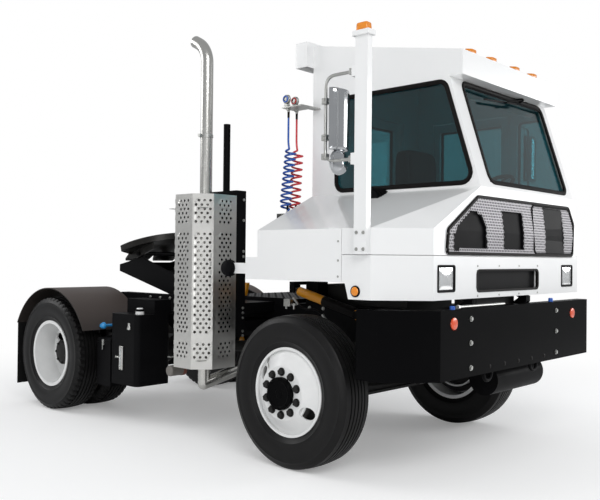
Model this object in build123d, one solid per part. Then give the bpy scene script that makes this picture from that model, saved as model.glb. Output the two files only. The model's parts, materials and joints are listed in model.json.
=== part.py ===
"""Terminal tractor: a short yard tractor with a one-person cab, a lifting fifth wheel and twin rear wheels.

Frame: +X forward, +Y to the driver's left, +Z up, millimetres. The origin is on the ground,
straight below the middle of the front axle.
"""
import math
import os

from build123d import *

# Driving dimensions of the whole vehicle
WHEELBASE = 2948.0            # front axle to rear axle, 116 in
HALF_WIDTH = 1220.0           # half of the 96 in overall width
TYRE_R = 515.0                # 11R22.5 tyre as it stands under load
TYRE_W = 280.0
HUB_Z = TYRE_R
RIM_INSET = 194.0             # from the vehicle's side to a front wheel's rim centre
DUAL_INSET = 306.0            # from the vehicle's side to where the two rear discs of one side meet
KINGPIN_INSET = 146.0         # from a front rim's centre to its kingpin
FRONT_RIM_Y = HALF_WIDTH - RIM_INSET
DUAL_Y = HALF_WIDTH - DUAL_INSET
DISC_OFFSET = 171.0           # rim centre to the disc's convex face
KINGPIN_Y = FRONT_RIM_Y - KINGPIN_INSET
REAR_X = -WHEELBASE

# Running gaps
GAP = 5.0                     # between pieces that move past each other
FIT = 0.05                    # radial play of a pin or spindle in its bore
SEAT_GAP = 0.3                # between pieces of two bodies that rest on each other
OVERRUN = 40.0                # how far a cutting tool runs past what it cuts

# Frame rails
RAIL_OUT = 430.0              # outer face of each rail
RAIL_TOP = 1060.0
RAIL_H = 260.0
RAIL_WEB = 10.0
RAIL_FLANGE = 90.0
RAIL_FRONT_X = 930.0
RAIL_REAR_X = -3300.0
RAIL_BOTTOM = RAIL_TOP - RAIL_H
CROSS_W = 120.0
CROSS_H = 200.0
CROSS_XS = (700.0, -1350.0)
TAPER_X = -2950.0             # where the rails start to fall towards the rear
TAPER_Z = 900.0
TAIL_THICKNESS = 40.0

# Bumper
BUMPER_X = 1065.0
BUMPER_TOP = 1107.0
BUMPER_BOTTOM = 680.0
BUMPER_T = 12.0
BUMPER_CORNER = 270.0         # how far in the right end starts to turn back
BUMPER_BEND_Y = BUMPER_CORNER - HALF_WIDTH
BUMPER_SHELF = 85.0
BUMPER_SIDE_END_X = 640.0

# Cab
CAB_REAR_X = -540.0
CAB_FRONT_X = 960.0
CAB_INSET = 40.0              # from the vehicle's left side to the cab's left wall
CAB_RIGHT_Y = -300.0
CAB_LEFT_Y = HALF_WIDTH - CAB_INSET
CAB_BOTTOM = 1230.0
SILL_Z = 1905.0
EAVE_Z = 2680.0
WALL = 40.0
FLOOR_T = 50.0
PILLAR_TOP_X = 710.0
ROOF_FRONT_X = 815.0
ROOF_FRONT_RISE = 170.0       # roof's edge above the eave at the front
ROOF_REAR_RISE = 420.0
ROOF_REAR_X = -500.0
ROOF_FRONT_Z = EAVE_Z + ROOF_FRONT_RISE
ROOF_REAR_Z = EAVE_Z + ROOF_REAR_RISE
PANEL_GAP = 4.0               # open seam between two panels

# Cowl in front of and beside the cab
COWL_T = 30.0
COWL_FRONT_X = 1000.0
COWL_INSET = 20.0             # from the vehicle's right side to the cowl and the exhaust guard
COWL_CORNER = 270.0
COWL_SIDE_Y = COWL_INSET - HALF_WIDTH
COWL_BEND_Y = COWL_SIDE_Y + COWL_CORNER
COWL_CHAMFER_X = COWL_FRONT_X - COWL_CORNER
COWL_BOTTOM = 1163.0
CREASE_Z = 1600.0
LAMP_PANEL_TOP = 1437.0
SIDE_BOTTOM = 1265.0
SIDE_REAR_X = -240.0
SIDE_STEP_X = -355.0
SIDE_STEP_Z = 1417.0
SIDE_SEAM_X = 504.0
ARCH_END_X = 560.0
CAB_PIVOT_X = 950.0
CAB_PIVOT_Z = 1135.0

# Boom and fifth wheel
BOOM_PIVOT_X = -1560.0
BOOM_PIVOT_Z = 930.0
BOOM_HALF_W = 290.0
PLATE_PIVOT_X = -2830.0
PLATE_PIVOT_Z = 1440.0
PLATE_TILT = 17.0             # degrees, tail down
PLATE_R = 460.0
PLATE_T = 60.0

parts = {}


def box(x0, x1, y0, y1, z0, z1):
    """A box given by its low and high place along each axis."""
    low = (min(x0, x1), min(y0, y1), min(z0, z1))
    size = (abs(x1 - x0), abs(y1 - y0), abs(z1 - z0))
    return Pos(*low) * Box(*size, align=(Align.MIN, Align.MIN, Align.MIN))


def bar(radius, start, end):
    """A round bar from one point to another."""
    a, b = Vector(*start), Vector(*end)
    plane = Plane(origin=a, z_dir=b - a)
    return plane * Cylinder(radius, (b - a).length, align=(Align.CENTER, Align.CENTER, Align.MIN))


def slab(points, y0, y1):
    """A plate whose outline is given in X and Z, from one Y to another."""
    face = Plane.XZ * make_face(Polyline(*points, close=True))
    return Pos(0, max(y0, y1), 0) * extrude(face, abs(y1 - y0))


def slab_z(points, z0, z1):
    """A plate whose outline is given in X and Y, from one Z to another."""
    return Pos(0, 0, min(z0, z1)) * extrude(make_face(Polyline(*points, close=True)), abs(z1 - z0))


def ring(points, y, side=1):
    """A round body about the Y axis at the origin, from (radius, distance outwards) points."""
    flat = [(r, a * side) for r, a in points]
    face = make_face(Polyline(*flat, close=True))
    return Pos(0, y, 0) * revolve(face, Axis.Y)


def save(name, shape):
    """Keep a finished piece under its node's name."""
    parts[name] = shape


def fused(pieces):
    """Join a list of pieces into one shape."""
    whole = pieces[0]
    for piece in pieces[1:]:
        whole = whole + piece
    return whole


def both_sides(make):
    """The same piece on the right and on the left, as separate solids."""
    return Compound(children=[make(side) for side in (-1, 1)])


# Wheels
FLANGE_R = 300.0
SEAT_R = 286.0
BARREL_R = 272.0
FLANGE_T = 12.0
RIM_HALF = 117.5
DISC_T = 11.0
DISC_BORE = 108.0
DISC_FLAT_R = 180.0
CONE_END = 85.0
HAND_HOLE_R = 44.0
HAND_HOLE_AT = 228.0
HAND_HOLE_TURN = 30.0         # degrees behind the wheel's X axis
STUD_CIRCLE = 142.9
STUD_COUNT = 10
NUT_R = 19.0
NUT_H = 20.0
HUB_R = 107.0
SPINDLE_R = 45.0
DRUM_R = 205.0
DRUM_T = 12.0
TYRE_BULGE_R = 425.0
TYRE_BULGE = TYRE_W / 2
TREAD_HALF = 108.0
BEAD_HALF = RIM_HALF - FLANGE_T - PANEL_GAP


def wheel_disc(y, convex, side):
    """A pressed steel disc wheel; convex says which way its dish points along the axle."""
    s = convex
    rim = [
        (FLANGE_R, -RIM_HALF), (FLANGE_R, -RIM_HALF + FLANGE_T), (SEAT_R, -RIM_HALF + FLANGE_T),
        (SEAT_R, RIM_HALF - FLANGE_T), (FLANGE_R, RIM_HALF - FLANGE_T), (FLANGE_R, RIM_HALF),
        (BARREL_R + DISC_T, RIM_HALF), (BARREL_R + DISC_T, CONE_END + DISC_T), (DISC_FLAT_R, DISC_OFFSET),
        (DISC_BORE, DISC_OFFSET), (DISC_BORE, DISC_OFFSET - DISC_T), (DISC_FLAT_R - DISC_T / 2, DISC_OFFSET - DISC_T),
        (BARREL_R, CONE_END), (BARREL_R, -RIM_HALF),
    ]
    wheel = ring(rim, y * side, s * side)
    for turn in (0, 180):
        at = math.radians(turn - HAND_HOLE_TURN)
        x, z = HAND_HOLE_AT * math.cos(at), HAND_HOLE_AT * math.sin(at)
        inner = (x, side * (y + s * (CONE_END - OVERRUN)), z)
        outer = (x, side * (y + s * (DISC_OFFSET + OVERRUN)), z)
        wheel = wheel - bar(HAND_HOLE_R, inner, outer)
    return wheel


def tyre(y, side):
    """A tyre filled to its bead seat, centred on the plane y."""
    half = [(SEAT_R + SEAT_GAP, BEAD_HALF), (TYRE_BULGE_R, TYRE_BULGE), (TYRE_R, TREAD_HALF)]
    points = half + [(r, -a) for r, a in reversed(half)]
    return ring(points, y * side)


def nuts(face_y, side):
    """The wheel nuts on their circle, standing out of the disc face."""
    made = []
    for i in range(STUD_COUNT):
        at = math.tau * (i + 1 / 2) / STUD_COUNT
        x, z = STUD_CIRCLE * math.cos(at), STUD_CIRCLE * math.sin(at)
        made.append(bar(NUT_R, (x, side * face_y, z), (x, side * (face_y + NUT_H), z)))
    return made


HUB_IN = 120.0                # from the kingpin to the hub's inner end
HUB_CAP_T = 40.0
HUB_IN_Y = KINGPIN_Y + HUB_IN
HUB_CAP_Y = HALF_WIDTH
SPINDLE_END_Y = HUB_CAP_Y - HUB_CAP_T
FRONT_DISC_Y = FRONT_RIM_Y + DISC_OFFSET


def front_wheel(side):
    """Disc wheel, hub, brake drum and nuts of a front wheel, as one rolling piece."""
    disc = wheel_disc(FRONT_RIM_Y, 1, side)
    flange_y = FRONT_DISC_Y - DISC_T
    hub = bar(HUB_R, (0, side * HUB_IN_Y, 0), (0, side * HUB_CAP_Y, 0))
    flange = bar(DISC_FLAT_R - DISC_T, (0, side * (flange_y - DRUM_T), 0), (0, side * flange_y, 0))
    drum_in, drum_out = KINGPIN_Y + DRUM_R / 2, flange_y - DRUM_T
    drum = bar(DRUM_R, (0, side * drum_in, 0), (0, side * drum_out, 0))
    drum = drum - bar(DRUM_R - DRUM_T, (0, side * (drum_in - OVERRUN), 0), (0, side * (drum_out - DRUM_T), 0))
    whole = fused([disc, hub, flange, drum] + nuts(FRONT_DISC_Y, side))
    whole = whole - bar(SPINDLE_R + FIT, (0, side * (HUB_IN_Y - OVERRUN), 0), (0, side * (SPINDLE_END_Y + GAP), 0))
    return Pos(0, 0, HUB_Z) * whole


REAR_HUB_IN = 214.0           # from the rear discs to the hub's inner end
REAR_HUB_OUT = 161.0
REAR_HUB_IN_Y = DUAL_Y - REAR_HUB_IN
REAR_HUB_OUT_Y = DUAL_Y + REAR_HUB_OUT
REAR_SPINDLE_END_Y = REAR_HUB_OUT_Y - SPINDLE_R
REAR_RIM_IN = DUAL_Y - DISC_OFFSET
REAR_RIM_OUT = DUAL_Y + DISC_OFFSET


def rear_wheels(side):
    """Both disc wheels of one side with their hub and drum, as one rolling piece."""
    inner = wheel_disc(REAR_RIM_IN, 1, side)
    outer = wheel_disc(REAR_RIM_OUT, -1, side)
    hub = bar(HUB_R + DISC_T / 2, (0, side * REAR_HUB_IN_Y, 0), (0, side * REAR_HUB_OUT_Y, 0))
    drum_out = DUAL_Y - DISC_T
    drum = bar(DRUM_R, (0, side * REAR_HUB_IN_Y, 0), (0, side * (DUAL_Y - DISC_OFFSET / 3), 0))
    drum = drum - bar(DRUM_R - DRUM_T, (0, side * (REAR_HUB_IN_Y - OVERRUN), 0),
                      (0, side * (DUAL_Y - DISC_OFFSET / 3 - DRUM_T), 0))
    flange = bar(DISC_FLAT_R - DISC_T, (0, side * (drum_out - DRUM_T), 0), (0, side * drum_out, 0))
    whole = fused([inner, outer, hub, drum, flange] + nuts(DUAL_Y + DISC_T, side))
    whole = whole - bar(SPINDLE_R + FIT, (0, side * (REAR_HUB_IN_Y - OVERRUN), 0),
                        (0, side * (REAR_SPINDLE_END_Y + GAP), 0))
    return Pos(REAR_X, 0, HUB_Z) * whole


for side, word in ((-1, "right"), (1, "left")):
    save(f"front_{word}_tyre", Pos(0, 0, HUB_Z) * tyre(FRONT_RIM_Y, side))
    save(f"front_{word}_wheel", front_wheel(side))
    save(f"rear_{word}_tyres", Compound(children=[Pos(REAR_X, 0, HUB_Z) * tyre(y, side)
                                                  for y in (REAR_RIM_OUT, REAR_RIM_IN)]))
    save(f"rear_{word}_wheels", rear_wheels(side))

# Front axle and steering knuckles
KINGPIN_R = 22.0
BOSS_R = 45.0
BOSS_H = 120.0
BEAM_H = 90.0
BEAM_HALF_X = 45.0
BEAM_DROP = 70.0
BEAM_WEB_HALF = 12.0
EAR_T = 40.0
EAR_HALF_X = 50.0
KNUCKLE_BACK = 80.0           # kingpin to the knuckle's outer face
STEER_ARM = 200.0
STEER_ARM_T = 25.0


def axle_end(side):
    """Kingpin boss with its pin and the rising end of the beam."""
    y = side * KINGPIN_Y
    boss = bar(BOSS_R, (0, y, HUB_Z - BOSS_H / 2), (0, y, HUB_Z + BOSS_H / 2))
    reach = BOSS_H / 2 + GAP + EAR_T
    pin = bar(KINGPIN_R, (0, y, HUB_Z - reach), (0, y, HUB_Z + reach))
    return boss + pin


beam_low = HUB_Z - BEAM_DROP
beam_in = RAIL_OUT + BEAM_H
beam_points = [(-KINGPIN_Y, HUB_Z), (-KINGPIN_Y + BOSS_H, HUB_Z), (-beam_in, beam_low), (beam_in, beam_low),
               (KINGPIN_Y - BOSS_H, HUB_Z), (KINGPIN_Y, HUB_Z)]


def beam_band(half_x, low, high):
    """The beam's bent band between two heights about its centre line."""
    top = [(y, z + high) for y, z in beam_points]
    bottom = [(y, z + low) for y, z in reversed(beam_points)]
    face = Plane.YZ * make_face(Polyline(*(top + bottom), close=True))
    return Pos(-half_x, 0, 0) * extrude(face, half_x * 2)


flange_h = BEAM_H / 5
axle = fused([
    beam_band(BEAM_WEB_HALF, -BEAM_H / 2, BEAM_H / 2),
    beam_band(BEAM_HALF_X, BEAM_H / 2 - flange_h, BEAM_H / 2),
    beam_band(BEAM_HALF_X, -BEAM_H / 2, -BEAM_H / 2 + flange_h),
    axle_end(-1), axle_end(1),
])


def knuckle(side):
    """Two ears about the kingpin, the block that joins them, the spindle and the steering arm."""
    y0, y1 = side * (KINGPIN_Y - EAR_HALF_X), side * (KINGPIN_Y + KNUCKLE_BACK)
    block_y = side * (KINGPIN_Y + BOSS_R + GAP)
    low, high = HUB_Z - BOSS_H / 2 - GAP, HUB_Z + BOSS_H / 2 + GAP
    body = fused([
        box(-EAR_HALF_X, EAR_HALF_X, y0, y1, high, high + EAR_T),
        box(-EAR_HALF_X, EAR_HALF_X, y0, y1, low - EAR_T, low),
        box(-EAR_HALF_X, EAR_HALF_X, block_y, y1, low - EAR_T, high + EAR_T),
        bar(SPINDLE_R, (0, y1, HUB_Z), (0, side * SPINDLE_END_Y, HUB_Z)),
        box(-STEER_ARM, 0, side * (KINGPIN_Y - EAR_HALF_X), side * (KINGPIN_Y - EAR_HALF_X + STEER_ARM_T * 2),
            low - EAR_T, low - EAR_T + STEER_ARM_T),
    ])
    pin = bar(KINGPIN_R + FIT, (0, side * KINGPIN_Y, low - EAR_T - OVERRUN),
              (0, side * KINGPIN_Y, high + EAR_T + OVERRUN))
    return body - pin


save("right_knuckle", knuckle(-1))
save("left_knuckle", knuckle(1))

# Frame
rail_profile = [(RAIL_OUT, RAIL_BOTTOM), (RAIL_OUT, RAIL_TOP), (RAIL_OUT - RAIL_FLANGE, RAIL_TOP),
                (RAIL_OUT - RAIL_FLANGE, RAIL_TOP - RAIL_WEB), (RAIL_OUT - RAIL_WEB, RAIL_TOP - RAIL_WEB),
                (RAIL_OUT - RAIL_WEB, RAIL_BOTTOM + RAIL_WEB),
                (RAIL_OUT - RAIL_FLANGE, RAIL_BOTTOM + RAIL_WEB), (RAIL_OUT - RAIL_FLANGE, RAIL_BOTTOM)]


def rail(side):
    """One channel rail, its flanges turned inwards and its tail cut down towards the rear."""
    face = Plane.YZ * make_face(Polyline(*[(y * side, z) for y, z in rail_profile], close=True))
    channel = Pos(RAIL_REAR_X, 0, 0) * extrude(face, RAIL_FRONT_X - RAIL_REAR_X)
    cut = [(TAPER_X, RAIL_TOP), (RAIL_REAR_X, TAPER_Z), (RAIL_REAR_X - OVERRUN, TAPER_Z),
           (RAIL_REAR_X - OVERRUN, RAIL_TOP * 2), (TAPER_X, RAIL_TOP * 2)]
    drop = RAIL_WEB / math.cos(math.atan2(RAIL_TOP - TAPER_Z, TAPER_X - RAIL_REAR_X))
    flange = [(TAPER_X, RAIL_TOP), (RAIL_REAR_X, TAPER_Z), (RAIL_REAR_X, TAPER_Z - drop), (TAPER_X, RAIL_TOP - drop)]
    return channel - slab(cut, -HALF_WIDTH, HALF_WIDTH) + slab(flange, side * (RAIL_OUT - RAIL_FLANGE), side * RAIL_OUT)


save("frame_rails", both_sides(rail))
inside = RAIL_OUT - RAIL_WEB
cross_mid = (RAIL_TOP + RAIL_BOTTOM) / 2
LIFT_BASE_X = -1900.0
LIFT_BASE_Z = 620.0
LIFT_Y = 180.0
LUG_T = 20.0
LUG_R = 45.0
PIN_R = 20.0
BARREL_HALF_W = 45.0
LIFT_BARREL_R = 42.0
LOW_TUBE_Z = RAIL_BOTTOM - CROSS_W / 2


def cross_member(x):
    """Channel between the rails, open to the front."""
    channel = box(x - CROSS_W / 2, x + CROSS_W / 2, -inside, inside, cross_mid - CROSS_H / 2, cross_mid + CROSS_H / 2)
    hollow = box(x - CROSS_W / 2 + RAIL_WEB, x + CROSS_W / 2 + OVERRUN, -inside - OVERRUN, inside + OVERRUN,
                 cross_mid - CROSS_H / 2 + RAIL_WEB, cross_mid + CROSS_H / 2 - RAIL_WEB)
    return channel - hollow


def lift_anchor(side):
    """Two ears under the low cross tube and the pin for the foot of a lift cylinder."""
    y = side * LIFT_Y
    made = []
    for end in (-1, 1):
        inner = y + end * (BARREL_HALF_W + GAP)
        outer = inner + end * LUG_T
        ear = [(LIFT_BASE_X - CROSS_W / 3, LOW_TUBE_Z), (LIFT_BASE_X - LUG_R, LIFT_BASE_Z - LUG_R),
               (LIFT_BASE_X + LUG_R, LIFT_BASE_Z - LUG_R), (LIFT_BASE_X + CROSS_W, LOW_TUBE_Z)]
        made.append(slab(ear, inner, outer))
    reach = BARREL_HALF_W + GAP + LUG_T
    made.append(bar(PIN_R, (LIFT_BASE_X, y - reach, LIFT_BASE_Z), (LIFT_BASE_X, y + reach, LIFT_BASE_Z)))
    return made


def boom_hanger(side):
    """Plate on the inside of a rail that carries the boom's pivot pin."""
    y_in, y_out = BOOM_HALF_W + GAP, RAIL_OUT - RAIL_WEB
    web = box(BOOM_PIVOT_X - LUG_R * 2, BOOM_PIVOT_X + LUG_R * 2, side * y_in, side * (y_in + LUG_T),
              BOOM_PIVOT_Z - LUG_R * 2, BOOM_PIVOT_Z + LUG_R * 2)
    tube = bar(LUG_R, (BOOM_PIVOT_X, side * y_in, BOOM_PIVOT_Z), (BOOM_PIVOT_X, side * y_out, BOOM_PIVOT_Z))
    pin = bar(PIN_R, (BOOM_PIVOT_X, side * (BOOM_HALF_W - LUG_R), BOOM_PIVOT_Z),
              (BOOM_PIVOT_X, side * y_out, BOOM_PIVOT_Z))
    return fused([web, tube, pin])


low_tube = box(LIFT_BASE_X + LIFT_BARREL_R + GAP * 2, LIFT_BASE_X + LIFT_BARREL_R + GAP * 2 + CROSS_W,
               -RAIL_OUT, RAIL_OUT, RAIL_BOTTOM - CROSS_W, RAIL_BOTTOM)
tail = box(RAIL_REAR_X, RAIL_REAR_X + TAIL_THICKNESS, -inside, inside, RAIL_BOTTOM + RAIL_WEB, TAPER_Z - RAIL_WEB * 3)
save("cross_members", Compound(children=[cross_member(x) for x in CROSS_XS] + [tail]
                               + [fused([low_tube] + lift_anchor(-1) + lift_anchor(1))]
                               + [boom_hanger(-1), boom_hanger(1)]))

# Springs
SPRING_HALF = 560.0
SPRING_W = 75.0
SPRING_T = 70.0
SPRING_Y = RAIL_OUT - SPRING_W / 2
SPRING_LIFT = 60.0
EYE_R = 32.0


def leaf_spring(side):
    """A leaf pack on the axle with its eyes and hangers up to the rail."""
    y0, y1 = side * (SPRING_Y - SPRING_W / 2), side * (SPRING_Y + SPRING_W / 2)
    seat = beam_low + BEAM_H / 2
    eye_z = seat + SPRING_T / 2 + SPRING_LIFT
    outline = [(-SPRING_HALF, eye_z + SPRING_T / 6), (0, seat + SPRING_T), (SPRING_HALF, eye_z + SPRING_T / 6),
               (SPRING_HALF, eye_z - SPRING_T / 6), (SPRING_HALF / 4, seat), (-SPRING_HALF / 4, seat),
               (-SPRING_HALF, eye_z - SPRING_T / 6)]
    made = [slab(outline, y0, y1)]
    for end in (-1, 1):
        x = end * SPRING_HALF
        made.append(bar(EYE_R, (x, y0, eye_z), (x, y1, eye_z)))
        made.append(slab([(x - EYE_R, eye_z), (x + EYE_R, eye_z), (x + EYE_R * 2, RAIL_BOTTOM),
                          (x - EYE_R * 2, RAIL_BOTTOM)], y0, y1))
    return fused(made)


save("front_axle", fused([axle, leaf_spring(-1), leaf_spring(1)]))

# Rear axle
BANJO_R = 200.0
BANJO_HALF = 110.0
AXLE_TUBE_R = 70.0
AXLE_TUBE_END = REAR_HUB_IN_Y - GAP * 2
NOSE_R = 120.0
NOSE_L = 330.0
DRIVE_LINE_Z = 640.0
SADDLE_HALF = 130.0
SADDLE_W = 110.0


def saddle(side):
    """The block that bolts the rear axle solidly under its rail."""
    y1 = side * RAIL_OUT
    y0 = side * (RAIL_OUT - SADDLE_W)
    outline = [(REAR_X - SADDLE_HALF, RAIL_BOTTOM), (REAR_X + SADDLE_HALF, RAIL_BOTTOM),
               (REAR_X + AXLE_TUBE_R, HUB_Z + AXLE_TUBE_R / 2), (REAR_X + AXLE_TUBE_R, HUB_Z - AXLE_TUBE_R),
               (REAR_X - AXLE_TUBE_R, HUB_Z - AXLE_TUBE_R), (REAR_X - AXLE_TUBE_R, HUB_Z + AXLE_TUBE_R / 2)]
    return slab(outline, y0, y1)


rear_axle = fused([
    bar(BANJO_R, (REAR_X, -BANJO_HALF, HUB_Z), (REAR_X, BANJO_HALF, HUB_Z)),
    bar(AXLE_TUBE_R, (REAR_X, -AXLE_TUBE_END, HUB_Z), (REAR_X, AXLE_TUBE_END, HUB_Z)),
    bar(SPINDLE_R, (REAR_X, -REAR_SPINDLE_END_Y, HUB_Z), (REAR_X, REAR_SPINDLE_END_Y, HUB_Z)),
    bar(NOSE_R, (REAR_X, 0, HUB_Z), (REAR_X + NOSE_L, 0, HUB_Z)),
    saddle(-1), saddle(1),
])
save("rear_axle", rear_axle)

# Engine, transmission, propeller shaft and radiator
ENGINE_FRONT_X = 380.0
ENGINE_REAR_X = -560.0
ENGINE_HALF_W = 300.0
ENGINE_TOP = 1205.0
ENGINE_BOTTOM = 660.0
GEARBOX_REAR_X = -1180.0
GEARBOX_HALF = 200.0
SHAFT_R = 50.0
RAD_X = 790.0
RAD_T = 90.0
RAD_HALF = RAIL_OUT - RAIL_FLANGE - SEAT_GAP
RAD_DROP = 30.0               # from the cab's floor down to the radiator's top
RAD_TOP = CAB_BOTTOM - RAD_DROP
gearbox_mid = DRIVE_LINE_Z + GEARBOX_HALF - SHAFT_R * 2
shaft = bar(SHAFT_R, (GEARBOX_REAR_X + OVERRUN, 0, DRIVE_LINE_Z), (REAR_X + NOSE_L - OVERRUN, 0, HUB_Z)) - rear_axle
save("engine_and_drive_line", fused([
    box(ENGINE_REAR_X, ENGINE_FRONT_X, -ENGINE_HALF_W, ENGINE_HALF_W, ENGINE_BOTTOM, ENGINE_TOP),
    box(GEARBOX_REAR_X, ENGINE_REAR_X, -GEARBOX_HALF, GEARBOX_HALF, gearbox_mid - GEARBOX_HALF,
        gearbox_mid + GEARBOX_HALF),
    shaft,
]))
save("radiator", box(RAD_X, RAD_X + RAD_T, -RAD_HALF, RAD_HALF, RAIL_BOTTOM, RAD_TOP))

# Bumper
BUMPER_CHAMFER_X = BUMPER_X - (HALF_WIDTH + BUMPER_BEND_Y)
outer_line = [(BUMPER_SIDE_END_X, -HALF_WIDTH), (BUMPER_CHAMFER_X, -HALF_WIDTH), (BUMPER_X, BUMPER_BEND_Y),
              (BUMPER_X, HALF_WIDTH), (BUMPER_X - BUMPER_SHELF, HALF_WIDTH)]
skin_mitre = BUMPER_T * math.tan(math.radians(45 / 2))
inner_line = [(BUMPER_X - BUMPER_SHELF, HALF_WIDTH - BUMPER_T), (BUMPER_X - BUMPER_T, HALF_WIDTH - BUMPER_T),
              (BUMPER_X - BUMPER_T, BUMPER_BEND_Y + skin_mitre), (BUMPER_CHAMFER_X - skin_mitre, -HALF_WIDTH + BUMPER_T),
              (BUMPER_SIDE_END_X, -HALF_WIDTH + BUMPER_T)]
skin = slab_z(outer_line + inner_line, BUMPER_BOTTOM, BUMPER_TOP)
shelf_mitre = BUMPER_SHELF * math.tan(math.radians(45 / 2))
shelf_line = outer_line[1:] + [(BUMPER_X - BUMPER_SHELF, BUMPER_BEND_Y + shelf_mitre),
                               (BUMPER_CHAMFER_X - shelf_mitre, -HALF_WIDTH + BUMPER_SHELF),
                               (BUMPER_CHAMFER_X - shelf_mitre, -HALF_WIDTH)]
top_shelf = slab_z(shelf_line, BUMPER_TOP - BUMPER_T, BUMPER_TOP)
low_shelf = slab_z(shelf_line, BUMPER_BOTTOM, BUMPER_BOTTOM + BUMPER_T)


def bumper_bracket(side):
    """Plate between the rail's front end and the bumper's back."""
    return box(RAIL_FRONT_X, BUMPER_X - BUMPER_T, side * (RAIL_OUT - RAIL_FLANGE), side * RAIL_OUT,
               RAIL_BOTTOM, RAIL_TOP - RAIL_WEB)


save("front_bumper", fused([skin, top_shelf, low_shelf, bumper_bracket(-1), bumper_bracket(1)]))

# Air tank under the nose
AIR_TANK_R = 115.0
AIR_TANK_X = 790.0
AIR_TANK_Y0 = 60.0
AIR_TANK_Y1 = 780.0
AIR_TANK_Z = 560.0
STRAP_W = 50.0
air_tank = bar(AIR_TANK_R, (AIR_TANK_X, AIR_TANK_Y0, AIR_TANK_Z), (AIR_TANK_X, AIR_TANK_Y1, AIR_TANK_Z))
strap_y = RAIL_OUT - RAIL_FLANGE
air_tank = air_tank + box(AIR_TANK_X - AIR_TANK_R / 2, AIR_TANK_X + AIR_TANK_R / 2, strap_y,
                          strap_y + STRAP_W, AIR_TANK_Z, RAIL_BOTTOM)

# Tanks and boxes on the sides
TANK_X0 = -2140.0
TANK_X1 = -1750.0
TANK_INSET = 120.0            # from the vehicle's side to the tanks, the deck and the steps
TANK_Y_OUT = HALF_WIDTH - TANK_INSET
TANK_DEPTH = 350.0
TANK_EDGE_R = 45.0
TANK_Y_IN = TANK_Y_OUT - TANK_DEPTH
TANK_Z0 = 330.0
TANK_Z1 = 1045.0
HYDRAULIC_DROP = 120.0
BATTERY_X0 = -2345.0
BATTERY_Z1 = 700.0
BATTERY_Z0 = 290.0
BATTERY_Y_OUT = TANK_Y_OUT - GAP * 2
ARM_H = 60.0
LEFT_TANK_X1 = -1500.0


def tank_arms(side, places):
    """Short arms from the rail to a tank's inner face."""
    return [box(x, x + ARM_H, side * RAIL_OUT, side * TANK_Y_IN, RAIL_BOTTOM + ARM_H, RAIL_BOTTOM + ARM_H * 2)
            for x in places]


tank_places = (TANK_X0 + ARM_H, TANK_X1 - ARM_H * 2)
FILLER_R = 35.0
FILLER_H = 45.0


def tank(x0, x1, side, top):
    """A tank with round upright edges and its filler near the outer side."""
    body = box(x0, x1, side * TANK_Y_OUT, side * TANK_Y_IN, TANK_Z0, top)
    body = fillet(body.edges().filter_by(Axis.Z), TANK_EDGE_R)
    place = (x1 - TANK_EDGE_R * 2, side * (TANK_Y_OUT - TANK_EDGE_R * 2))
    return body + bar(FILLER_R, (*place, top), (*place, top + FILLER_H))


hydraulic = tank(TANK_X0, TANK_X1, -1, TANK_Z1 - HYDRAULIC_DROP)
hydraulic = hydraulic + box(TANK_X0, TANK_X1, -TANK_Y_IN - TANK_DEPTH / 2, -TANK_Y_IN, TANK_Z1 - HYDRAULIC_DROP, TANK_Z1)
fuel = tank(TANK_X0, LEFT_TANK_X1, 1, TANK_Z1 - ARM_H)
save("tanks", Compound(children=[fused([hydraulic] + tank_arms(-1, tank_places)),
                                 fused([fuel] + tank_arms(1, tank_places)), air_tank]))
battery = box(BATTERY_X0, TANK_X0 - GAP, -BATTERY_Y_OUT, -TANK_Y_IN, BATTERY_Z0, BATTERY_Z1)
battery_post = box(BATTERY_X0 + ARM_H, BATTERY_X0 + ARM_H * 2, -TANK_Y_IN - ARM_H, -TANK_Y_IN, BATTERY_Z1,
                   RAIL_BOTTOM + ARM_H * 2)
save("battery_box", fused([battery, battery_post] + tank_arms(-1, (BATTERY_X0 + ARM_H,))))

# Rear fenders and mud flaps
FENDER_ROOM = 145.0           # from the tyres to the fender's outside
FENDER_R = TYRE_R + FENDER_ROOM
FENDER_BACK = 7.0
FENDER_X = REAR_X - FENDER_BACK
FENDER_Z = 456.0
FENDER_T = 8.0
FENDER_Y_IN = 600.0
FENDER_Y_OUT = HALF_WIDTH
FENDER_LOW_Z = 760.0
FLAP_BOTTOM = 175.0
FLAP_T = 10.0
FENDER_ARM = 40.0


def fender(side):
    """Half-round plate over one pair of rear wheels, on two arms from the rail."""
    y0, y1 = side * FENDER_Y_IN, side * FENDER_Y_OUT
    shell = bar(FENDER_R, (FENDER_X, y0, FENDER_Z), (FENDER_X, y1, FENDER_Z))
    shell = shell - bar(FENDER_R - FENDER_T, (FENDER_X, -HALF_WIDTH * 2, FENDER_Z),
                        (FENDER_X, HALF_WIDTH * 2, FENDER_Z))
    keep = box(FENDER_X - FENDER_R * 2, FENDER_X + FENDER_R * 2, y0, y1, FENDER_LOW_Z, FENDER_Z + FENDER_R * 2)
    made = [shell & keep]
    for x in (FENDER_X - FENDER_R / 2, FENDER_X + FENDER_R / 2):
        top = FENDER_Z + math.sqrt(FENDER_R ** 2 - (abs(x - FENDER_X) + FENDER_ARM / 2) ** 2) - FENDER_T
        made.append(box(x - FENDER_ARM / 2, x + FENDER_ARM / 2, side * RAIL_OUT, side * (FENDER_Y_IN + FENDER_ARM * 2),
                        top - FENDER_ARM, top))
    return fused(made)


save("rear_fenders", both_sides(fender))
flap_x = FENDER_X - math.sqrt(FENDER_R ** 2 - (FENDER_LOW_Z - FENDER_Z) ** 2)


def flap(side):
    """Rubber sheet behind the rear wheels, from the fender's rear edge."""
    return box(flap_x, flap_x + FLAP_T, side * (FENDER_Y_IN + FLAP_T), side * (FENDER_Y_OUT - FLAP_T),
               FLAP_BOTTOM, FENDER_LOW_Z)


save("mud_flaps", both_sides(flap))

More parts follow.
